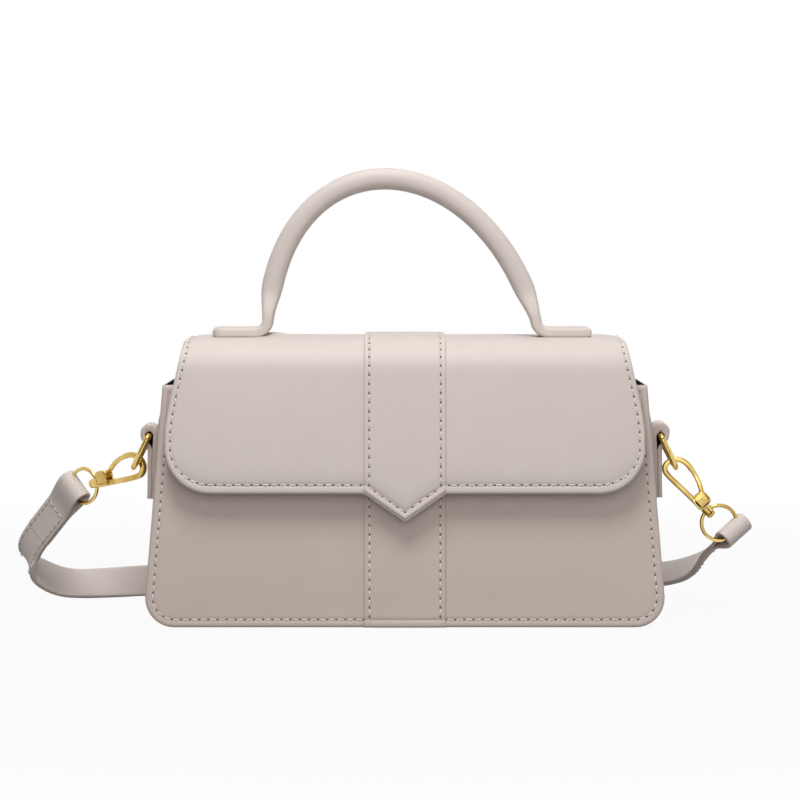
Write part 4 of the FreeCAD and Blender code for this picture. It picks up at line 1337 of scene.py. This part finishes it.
@dataclass
class Clasp:
    """Swivel snap hook: a bar bent to a drop, a bowed spring gate, and a block with cheeks, stem and knob.

    Flat points are (a, b): a along the swivel from the eye's middle, b across it towards the gate. The third
    direction, c, runs along the gate's pin.
    """

    name: str
    hook: Body
    gate: Body
    through: tuple[float, float, float]
    axis: tuple[float, float, float]
    pin: tuple[float, float, float]
    offset: float = 1.1
    bar: float = 2.3
    depth: float = 2.7
    lever: float = 2.0
    lever_depth: float = 1.5
    lever_side: float = -0.865
    block_half: float = 2.5
    slot_half: float = 1.75
    cheek_at: tuple[float, float] = (-12.0, 2.3)
    cheek: tuple[float, float] = (3.1, 3.2)
    spine_at: tuple[float, float] = (-12.0, -0.35)
    spine: tuple[float, float] = (3.05, 0.75)
    collar_at: tuple[float, float] = (-9.45, 1.9)
    collar: tuple[float, float] = (0.5, 2.6)
    shift_span: tuple[float, float] = (-22.0, -15.0)
    plate_power: float = 3.2
    bow: tuple[tuple[float, float], ...] = (
        (-9.6, -0.1), (-15.0, -0.2), (-22.0, -0.6), (-28.4, -1.0), (-31.4, -0.6), (-33.0, 1.3), (-32.8, 4.1),
        (-30.8, 6.9), (-27.5, 8.0), (-24.2, 7.85))
    arm: tuple[tuple[float, float], ...] = (
        (-24.08, 7.83), (-21.0, 7.25), (-17.5, 6.05), (-14.5, 4.4), (-12.0, 2.34))
    turned: tuple[tuple[float, float], ...] = (
        (-9.4, 0.0), (-9.4, 1.1), (-5.6, 1.1), (-5.6, 1.5), (-5.35, 1.9), (-4.55, 1.9), (-4.1, 1.45),
        (-4.0, 0.0))

    def place(self, flat: Array, c: Array) -> Array:
        """Points of the bag's frame for flat points and c."""
        u, w = unit(np.array(self.axis)), unit(np.array(self.pin))
        v = np.cross(u, w)
        return np.array(self.through) + flat[..., :1] * u + (flat[..., 1:] - self.offset) * v + c * w

    def bent(self, patch: Patchwork, points: tuple[tuple[float, float], ...], side: float, thick: float,
             depth: float) -> None:
        """Bar along flat points: a round-cornered profile on a smooth line, shifted to side by the block."""
        flat = line_through(np.array(points), 0.4)
        path = self.place(flat, side * smooth(*self.shift_span, flat[:, :1]))
        across = np.broadcast_to(unit(np.array(self.pin)), path.shape)
        section = strip_profile(depth, thick, 0.3 * thick)
        patch.grid(capped(sweep(path, across, unit(np.cross(tangents(path), across)), section)), (False, True))

    def plate(self, patch: Patchwork, centre: tuple[float, float], half: tuple[float, float], low: float,
              high: float) -> None:
        """Plate across the pin: |a / half|^power + |b / half|^power = 1, with its two rims rounded."""
        turn = np.linspace(0.0, 2.0 * math.pi, 41)[None, :-1]
        c, s = np.cos(turn), np.sin(turn)
        power = 2.0 / self.plate_power
        size = np.array([0.0, 0.86, 0.96, 1.0, 1.0, 0.96, 0.86, 0.0])[:, None]
        depth = np.array([low, low, low + 0.1, low + 0.3, high - 0.3, high - 0.1, high, high])[:, None, None]
        flat = np.stack([centre[0] + half[0] * size * np.sign(c) * np.abs(c) ** power,
                         centre[1] + half[1] * size * np.sign(s) * np.abs(s) ** power], axis=-1)
        patch.grid(self.place(flat, depth), (False, True))

    def make_stem(self, patch: Patchwork) -> None:
        """Stem and knob: a profile of (a, radius) turned about the swivel's axis."""
        profile = np.array(self.turned)[:, None]
        reach, radius = profile[..., 0], profile[..., 1]
        turn = np.linspace(0.0, 2.0 * math.pi, 25)[None, :-1]
        flat = np.stack(np.broadcast_arrays(reach, self.offset + radius * np.cos(turn)), axis=-1)
        patch.grid(self.place(flat, (radius * np.sin(turn))[..., None]), (False, True))

    def make(self, looks: Finishes) -> list[bpy.types.Object]:
        """Build the hook and its gate, set them on their bodies and return both."""
        pieces = []
        frame_patch, gate_patch = Patchwork(), Patchwork()
        self.bent(frame_patch, self.bow, 0.0, self.bar, self.depth)
        self.plate(frame_patch, self.cheek_at, self.cheek, self.slot_half, self.block_half)
        self.plate(frame_patch, self.cheek_at, self.cheek, -self.block_half, -self.slot_half)
        self.plate(frame_patch, self.spine_at, self.spine, -self.block_half, self.block_half)
        self.plate(frame_patch, self.collar_at, self.collar, -self.block_half, self.block_half)
        self.make_stem(frame_patch)
        self.bent(gate_patch, self.arm, self.lever_side, self.lever, self.lever_depth)
        for patch, part, body in ((frame_patch, "hook_body", self.hook), (gate_patch, "gate_lever", self.gate)):
            piece = patch.build(self.name + "_" + part + "_metal", [looks.gold])
            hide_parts(self.name + "_" + part)
            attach(piece, body.value)
            pieces.append(piece)
        return pieces


@dataclass
class StrapLoop:
    """End of the strap folded round a swivel eye and sewn to itself."""

    name: str
    body: Body
    end: tuple[float, float, float]
    away: tuple[float, float, float]
    across: tuple[float, float, float]
    length: float
    hole: float = 2.75
    layer: float = 1.45
    seam_at: float = 13.0
    width: float = 13.4
    seam: Seam = Seam(pitch=3.4, thread=0.3, hole=0.42)

    def frame(self) -> tuple[Array, Array, Array, Array]:
        """Middle of the fold, and the directions through the layers, across the strap and towards the fold."""
        back = -unit(np.array(self.away))
        wide = unit(np.array(self.across))
        return np.array(self.end) + back * self.length, np.cross(wide, back), wide, back

    def line(self) -> Array:
        """Line of the strip as (through, along): up one layer, half round the eye and down the other.

        Each layer's distance falls along an S-step from the fold's radius to half a layer at the seam.
        """
        radius = self.hole + self.layer / 2
        rest = self.layer / 2 + 0.03
        z = np.linspace(-self.length, -0.3, 70)
        gap = rest + (radius - rest) * (1.0 - smooth(0.0, self.seam_at, -z))
        turn = np.linspace(math.pi, 0.0, 30)
        arch = np.stack([np.cos(turn), np.sin(turn)], axis=-1) * radius
        down = np.stack([gap, z], axis=-1)
        return np.concatenate([down * [-1, 1], arch, down[::-1]])

    def make(self, looks: Finishes) -> list[bpy.types.Object]:
        """Build the fold and its stitches on their body."""
        middle, through, wide, back = self.frame()
        flat = resample(self.line(), 0.6)
        path = middle + flat[:, :1] * through + flat[:, 1:] * back
        run = tangents(path)
        side = np.broadcast_to(wide, path.shape)
        section = strip_profile(self.width, self.layer, 0.55)
        rings = capped(sweep(path, side, unit(np.cross(run, side)), section))
        edge = np.broadcast_to(np.abs(section[:, 0]) > self.width / 2 - 0.25, rings.shape[:2])
        patch = Patchwork()
        patch.grid(rings, (False, True), edge * 0.85)
        fold = patch.build(self.name + "_fold_leather", [looks.strap])
        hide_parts(self.name + "_strap_loop")
        sewing = Patchwork()
        reach = self.width / 2 - 1.7
        low, high = -self.length + 0.4, -self.seam_at - 0.2
        for facing in (-1.0, 1.0):
            lift = facing * (self.layer + 0.03)
            for start, stop in (((-reach, high), (reach, high)), ((-reach, high), (-reach, low)),
                                ((reach, high), (reach, low))):
                if start[1] - stop[1] < 2.0 and start[0] == stop[0]:
                    continue
                row = resample(np.array([start, stop]), 0.5)
                points = middle + lift * through + row[:, :1] * wide + row[:, 1:] * back
                self.seam.sew(sewing, points, np.broadcast_to(facing * through, points.shape))
        thread = sewing.build(self.name + "_fold_stitches", [looks.strap_thread, looks.strap_hole])
        for piece in (fold, thread):
            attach(piece, self.body.value)
        return [fold, thread]


def spline_line(name: str, route: Array) -> Array:
    """Points of a smooth spline of order 3 that has the route's points as its control points.

    Args:
        name: name of the curve while it lives.
        route: n x 3 control points in millimetres.

    Returns:
        Points along the spline in millimetres.
    """
    curve = bpy.data.curves.new(name, "CURVE")
    curve.dimensions = "3D"
    curve.resolution_u = 16
    spline = curve.splines.new("NURBS")
    spline.points.add(len(route) - 1)
    spline.points.foreach_set("co", np.hstack([route * MM, np.ones((len(route), 1))]).ravel())
    spline.order_u = 3
    spline.use_endpoint_u = True
    holder = bpy.data.objects.new(name, curve)
    bpy.context.scene.collection.objects.link(holder)
    mesh = bpy.data.meshes.new_from_object(holder.evaluated_get(bpy.context.evaluated_depsgraph_get()))
    points = np.empty(len(mesh.vertices) * 3)
    mesh.vertices.foreach_get("co", points)
    bpy.data.objects.remove(holder)
    bpy.data.curves.remove(curve)
    bpy.data.meshes.remove(mesh)
    return points.reshape(-1, 3) / MM


@dataclass
class StrapRun:
    """Free stretch of the flat strap along its route, on edge where upright is 1, leaning back as lean says."""

    name: str
    route: list[tuple[float, float, float]]
    upright: tuple[float, ...]
    lean: tuple[float, ...]
    across: tuple[float, float, float]
    length: float
    width: float = 13.4
    thick: float = 2.5
    outside: float = 1.0
    seam: Seam = Seam(pitch=3.8, thread=0.3, hole=0.5)

    def make(self, looks: Finishes) -> tuple[bpy.types.Object, bpy.types.Object, Array]:
        """Build the strip: a rounded profile carried along the spline, its width turned as upright says.

        Returns:
            The strip, its stitches and the line that they follow.
        """
        route = np.array(self.route, float)
        line = resample(spline_line(self.name + "_line", route), 1.2)
        share = run_length(line) / run_length(line)[-1]
        stops = run_length(route) / run_length(route)[-1]
        turn = np.interp(share, stops, self.upright)[:, None]
        run = tangents(line)
        tilt = np.interp(share, stops, self.lean)[:, None]
        leaning = np.array([0.0, 0.0, 1.0]) + tilt * [0.0, 1.0, 0.0]
        wide = np.array(self.across) * (1.0 - turn) + leaning * turn
        wide = unit(wide - run * np.sum(wide * run, axis=1, keepdims=True))
        face = np.cross(run, wide)
        section = strip_profile(self.width, self.thick, 0.8, 0.16)
        rings = capped(sweep(line, wide, face, section))
        edge = np.broadcast_to(np.abs(section[:, 0]) > self.width / 2 - 0.35, rings.shape[:2])
        patch = Patchwork()
        patch.grid(rings, (False, True), edge * 0.85)
        strip = patch.build(self.name + "_leather", [looks.strap])
        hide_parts(self.name)
        sewing = Patchwork()
        reach = self.width / 2 - 1.7
        for side in (-reach, reach):
            proud = face * (self.outside * self.thick / 2)
            self.seam.sew(sewing, line + wide * side + proud, face * self.outside)
        thread = sewing.build(self.name + "_stitches", [looks.strap_thread, looks.strap_hole])
        return strip, thread, line * MM


@dataclass(frozen=True)
class Stretch:
    """Route of one free stretch between its folded end and the hank, with its turn and lean at each point.
    """

    points: tuple[tuple[float, float, float], ...]
    upright: tuple[float, ...]
    lean: tuple[float, ...]
    length: float
    foot: float
    head: float
    outside: float = 1.0


@dataclass
class Strap:
    """Shoulder strap: two folded ends, two free stretches, and the spare length in a tied hank at the back."""

    hank_half: float = 75.0
    hank_front: float = 68.0
    hank_pitch: float = 5.5
    hank_runs: int = 5
    hank_lead: float = 17.0
    loop_lead: float = 11.0
    middle: float = 6.9
    width: float = 13.4
    thick: float = 2.5
    tie_width: float = 9.0
    tie: float = 0.5
    left: StrapLoop = field(default_factory=lambda: StrapLoop(
        "left", Body.LEFT_END, (-156.3, 32.2, 31.0), (-0.568413, 0.420603, -0.707107),
        (-0.568413, 0.420603, 0.707107), 29.0))
    right: StrapLoop = field(default_factory=lambda: StrapLoop(
        "right", Body.RIGHT_END, (133.92, 12.84, 31.31), (-0.2282, 0.9173, -0.3265),
        (0.7209, 0.3845, 0.5767), 14.0))
    left_stretch: Stretch = Stretch(
        ((-160.0, 40.5, 15.2), (-151.5, 46.0, 9.2), (-143.0, 50.0, 7.0), (-130.0, 53.5, 7.0),
         (-112.0, 63.0, 7.0)),
        (0.0, 0.1, 0.45, 0.8, 1.0, 1.0, 1.0, 1.0, 1.0), (0.0, 0.0, 0.1, 0.4, 0.7, 0.6, 0.3, 0.0, 0.0),
        0.1135, 8.0, 27.5, -1.0)
    right_stretch: Stretch = Stretch(
        ((128.5, 34.0, 20.5), (125.2, 43.0, 16.0), (120.0, 54.5, 12.2), (112.0, 66.5, 9.0), (102.5, 79.0, 7.2)),
        (0.0, 0.0, 0.15, 0.35, 0.6, 0.85, 1.0, 1.0, 1.0), (0.0, 0.0, 0.6, 1.3, 1.9, 2.0, 1.5, 0.3, 0.0),
        0.1134, 9.0, 32.0)
    hank_length: float = 0.7846
    carried: tuple[str, ...] = ("_swivel_eye", "_gate_pin", "_gate_spring")

    def hank_route(self) -> list[tuple[float, float, float]]:
        """Control points of the hank: each fold has its two corners and a point one pitch before and after."""
        points = [(-self.hank_half, self.hank_front, self.middle)]
        reach = self.hank_half + self.hank_pitch / 2
        for run in range(self.hank_runs - 1):
            heading = 1.0 if run % 2 == 0 else -1.0
            y = self.hank_front + run * self.hank_pitch
            for x, dy in ((reach - self.hank_pitch, 0.0), (reach, 0.0),
                          (reach, self.hank_pitch), (reach - self.hank_pitch, self.hank_pitch)):
                points.append((heading * x, y + dy, self.middle))
        points.append((self.hank_half, self.hank_front + (self.hank_runs - 1) * self.hank_pitch, self.middle))
        return points

    def lead(self, loop: StrapLoop) -> list[tuple[float, float, float]]:
        """First two points of a free stretch, straight out of its folded end."""
        out = np.array(loop.end) + np.array(loop.away) * self.loop_lead
        return [loop.end, tuple(out)]

    def make_tie(self, looks: Finishes) -> bpy.types.Object:
        """Woven band round the hank: a thin profile carried round a rectangle with soft corners."""
        span = (self.hank_runs - 1) * self.hank_pitch
        centre = self.hank_front + span / 2
        depth = span + self.thick + 0.2 + self.tie
        height = self.width + 0.2 + self.tie
        turn = np.linspace(0.0, 2.0 * math.pi, 161)[:-1]
        c, s = np.cos(turn), np.sin(turn)
        y = centre + np.sign(c) * np.abs(c) ** 0.12 * depth / 2
        z = self.middle + np.sign(s) * np.abs(s) ** 0.12 * height / 2
        ring = np.stack([np.zeros_like(y), y, z], axis=-1)
        outward = unit(ring - [0.0, centre, self.middle])
        across = np.broadcast_to([1.0, 0.0, 0.0], ring.shape)
        patch = Patchwork()
        patch.grid(sweep(ring, across, outward, strip_profile(self.tie_width, self.tie, 0.2)), (True, True))
        piece = patch.build("strap_tie_band", [looks.tie])
        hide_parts("strap_tie")
        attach(piece, Body.BAG.value)
        return piece

    def make(self, looks: Finishes, clasps: dict[str, list[bpy.types.Object]]) -> None:
        """Build the strap: its two folded ends, its two free stretches, the hank and the tie.

        Args:
            looks: the finishes.
            clasps: the hook and gate at each side, by the side's name; not used.
        """
        ends = {side: loop.make(looks) for side, loop in (("left", self.left), ("right", self.right))}
        hank = self.hank_route()
        for side, loop, stretch, join, away in (("left", self.left, self.left_stretch, hank[0], -1.0),
                                                ("right", self.right, self.right_stretch, hank[-1], 1.0)):
            lead_in = tuple(np.array(join) + [away * self.hank_lead, 0.0, 0.0])
            route = self.lead(loop) + list(stretch.points) + [lead_in, join]
            run = StrapRun("strap_%s_run" % side, route, stretch.upright, stretch.lean, loop.across,
                           stretch.length, outside=stretch.outside)
            strip, thread, line = run.make(looks)
            for piece in (strip, thread):
                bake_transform(piece)
            self.width * MM
            [side + part for part in self.carried]
        count = len(hank)
        tied = StrapRun("strap_hank", hank, (1.0,) * count, (0.0,) * count, (0.0, 0.0, 1.0), self.hank_length)
        strip, thread, line = tied.make(looks)
        for piece in (strip, thread):
            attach(piece, Body.BAG.value)
        self.width * MM
        self.make_tie(looks)


@dataclass(frozen=True)
class Hardware:
    """Metal fittings and the hidden board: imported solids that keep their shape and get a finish."""

    gold: tuple[str, ...] = ("d_ring", "gate_pin", "swivel_eye")
    nickel: tuple[str, ...] = ("body_magnet", "body_magnet_washer", "flap_magnet", "flap_magnet_washer")

    def dress(self, looks: Finishes) -> None:
        """Put each fitting's finish into its material slots."""
        wears = {node: looks.nickel for node in self.nickel}
        for side in ("left_", "right_"):
            wears.update({side + node: looks.gold for node in self.gold})
            wears[side + "gate_spring"] = looks.steel
        wears["base_board"] = looks.board
        for name, finish in wears.items():
            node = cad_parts[name]
            if not node.material_slots:
                node.data.materials.append(finish)
            for place in node.material_slots:
                place.material = finish
            log.info("%s: %s", name, finish.name)


@dataclass(frozen=True)
class Lamp:
    """Square soft lamp at a place, turned to a point; metres and watts."""

    name: str
    place: tuple[float, float, float]
    size: float
    power: float
    aim: tuple[float, float, float] = (0.0, -0.01, 0.07)

    def make(self) -> None:
        """Hang the lamp where the camera doesn't see it."""
        data = bpy.data.lights.new(self.name, "AREA")
        data.size = self.size
        data.energy = self.power
        lamp = bpy.data.objects.new(self.name, data)
        lamp.location = self.place
        lamp.visible_camera = False
        lamp.rotation_euler = (Vector(self.aim) - Vector(self.place)).to_track_quat("-Z", "Y").to_euler()
        bpy.context.scene.collection.objects.link(lamp)


@dataclass
class Studio:
    """Pale floor, white surroundings, soft lamps and the camera at the photograph's view."""

    target: tuple[float, float, float] = (-0.0020, -0.035, 0.0929)
    elevation: float = math.radians(4.0)
    distance: float = 1.25
    lens: float = 139.2
    ambient: float = 0.22
    room: float = 0.12
    floor_glow: float = 0.95
    floor_colour: Colour = (0.25, 0.25, 0.25, 1.0)
    floor_half: float = 6.0
    floor_drop: float = 0.0002
    lamps: tuple[Lamp, ...] = (
        Lamp("key", (-0.06, -0.37, 0.80), 0.30, 4.2), Lamp("overhead", (0.0, 0.05, 1.30), 1.4, 3.2),
        Lamp("fill", (0.0, -1.5, 0.5), 1.2, 7.5),
        Lamp("side", (0.75, -0.35, 0.30), 0.5, 0.7, (0.13, 0.02, 0.04)))

    def seen(self, g: Graph) -> tuple[Value, Value]:
        """1 for rays from the camera, and 1 for rays in gloss or through glass."""
        path = g.node("ShaderNodeLightPath").outputs
        return Value(g, path["Is Camera Ray"]), Value(g, path["Is Glossy Ray"]).most(
            Value(g, path["Is Transmission Ray"]))

    def make_world(self) -> None:
        """White where it is seen, dimmer where metal mirrors the front wall, a plain grey where it lights."""
        world = bpy.data.worlds.new("studio")
        world.use_nodes = True
        bpy.context.scene.world = world
        g = Graph(world.node_tree)
        camera, mirrored = self.seen(g)
        back_along = g.node("ShaderNodeNewGeometry").outputs["Incoming"]
        parts = g.node("ShaderNodeSeparateXYZ", None, {0: back_along}).outputs
        front_wall = Value(g, parts["Y"]).step(0.05, 0.7)
        shown = camera.most(mirrored * (1.0 - front_wall * (1.0 - self.room)))
        level = shown + (1.0 - camera.most(mirrored)) * self.ambient
        back = g.node("ShaderNodeBackground", None, {"Color": (1.0, 1.0, 1.0, 1.0), "Strength": level})
        g.node("ShaderNodeOutputWorld", None, {"Surface": back.outputs[0]})

    def make_floor(self) -> None:
        """Wide pale floor that glows where it is seen, fully so far away, and takes the bag's shadow nearby."""
        mesh = bpy.data.meshes.new("floor")
        span = np.linspace(-self.floor_half, self.floor_half, 3)
        x, y = np.meshgrid(span, span)
        index = np.arange(9).reshape(3, 3)
        quads = np.stack([index[:-1, :-1], index[:-1, 1:], index[1:, 1:], index[1:, :-1]], axis=-1)
        mesh.from_pydata(np.stack([x, y, np.full_like(x, -self.floor_drop)], axis=-1).reshape(-1, 3), [], quads.reshape(-1, 4))
        paper = bpy.data.materials.new("floor_paper")
        paper.use_nodes = True
        g = Graph(paper.node_tree)
        camera, mirrored = self.seen(g)
        reach = (g.axis("X") ** 2.0 + g.axis("Y") ** 2.0) ** 0.5
        share = camera.most(mirrored) * (self.floor_glow + reach.step(0.2, 0.6) * (1.0 - self.floor_glow))
        matt = g.node("ShaderNodeBsdfDiffuse", None, {"Color": self.floor_colour})
        glow = g.node("ShaderNodeEmission", None, {"Color": (1.0, 1.0, 1.0, 1.0), "Strength": 1.0})
        mixed = g.node("ShaderNodeMixShader", None, {0: share, 1: matt.outputs[0], 2: glow.outputs[0]})
        g.node("ShaderNodeOutputMaterial", None, {"Surface": mixed.outputs[0]})
        mesh.materials.append(paper)
        floor = bpy.data.objects.new("floor", mesh)
        bpy.context.scene.collection.objects.link(floor)

    def make_camera(self) -> None:
        """Long lens a little above the bag, in line with its front."""
        data = bpy.data.cameras.new("camera")
        data.lens = self.lens
        data.sensor_width = 36.0
        data.clip_end = 50.0
        camera = bpy.data.objects.new("camera", data)
        view = Vector((0.0, math.cos(self.elevation), -math.sin(self.elevation)))
        camera.location = Vector(self.target) - view * self.distance
        camera.rotation_euler = view.to_track_quat("-Z", "Y").to_euler()
        bpy.context.scene.collection.objects.link(camera)
        bpy.context.scene.camera = camera

    def make(self) -> None:
        """Set up the whole studio."""
        self.make_camera()
        self.make_world()
        self.make_floor()
        for lamp in self.lamps:
            lamp.make()
        bpy.context.scene.view_settings.view_transform = "Standard"


def clasps() -> tuple[Clasp, Clasp]:
    """The two snap hooks where they hang, the left one drawn a little larger."""
    left = Clasp("left", Body.LEFT_HOOK, Body.LEFT_GATE, (-135.1864, 16.6021, 53.0040),
                 (-0.7813175, 0.5781446, -0.2351421), (-0.5948228, -0.8038569, 0.0),
                 bow=((-9.6, -0.1), (-15.0, -0.2), (-22.0, -0.4), (-29.0, -0.5), (-32.7, 0.2), (-34.5, 2.5),
                      (-34.1, 5.4), (-32.0, 7.9), (-28.9, 9.1), (-25.6, 9.0)),
                 arm=((-25.48, 8.98), (-22.0, 8.3), (-18.2, 6.8), (-14.8, 4.7), (-12.0, 2.34)))
    right = Clasp("right", Body.RIGHT_HOOK, Body.RIGHT_GATE, (130.9184, 0.0, 39.1794),
                  (0.6819984, 0.0, -0.7313537), (0.0, 1.0, 0.0))
    return left, right


def main() -> None:
    """Build the studio, then the bag piece by piece."""
    Studio().make()
    looks = Finishes.make()
    shell = BagShell()
    shell.make(looks)
    for tab in (SideTab(-1.0, "left"), SideTab(1.0, "right", bottom=50.6, crown=1.9)):
        tab.make(looks)
    Flap(shell).make(looks)
    Handle().make(looks)
    Strap().make(looks, {clasp.name: clasp.make(looks) for clasp in clasps()})
    Hardware().dress(looks)


if __name__ == "__main__":
    main()
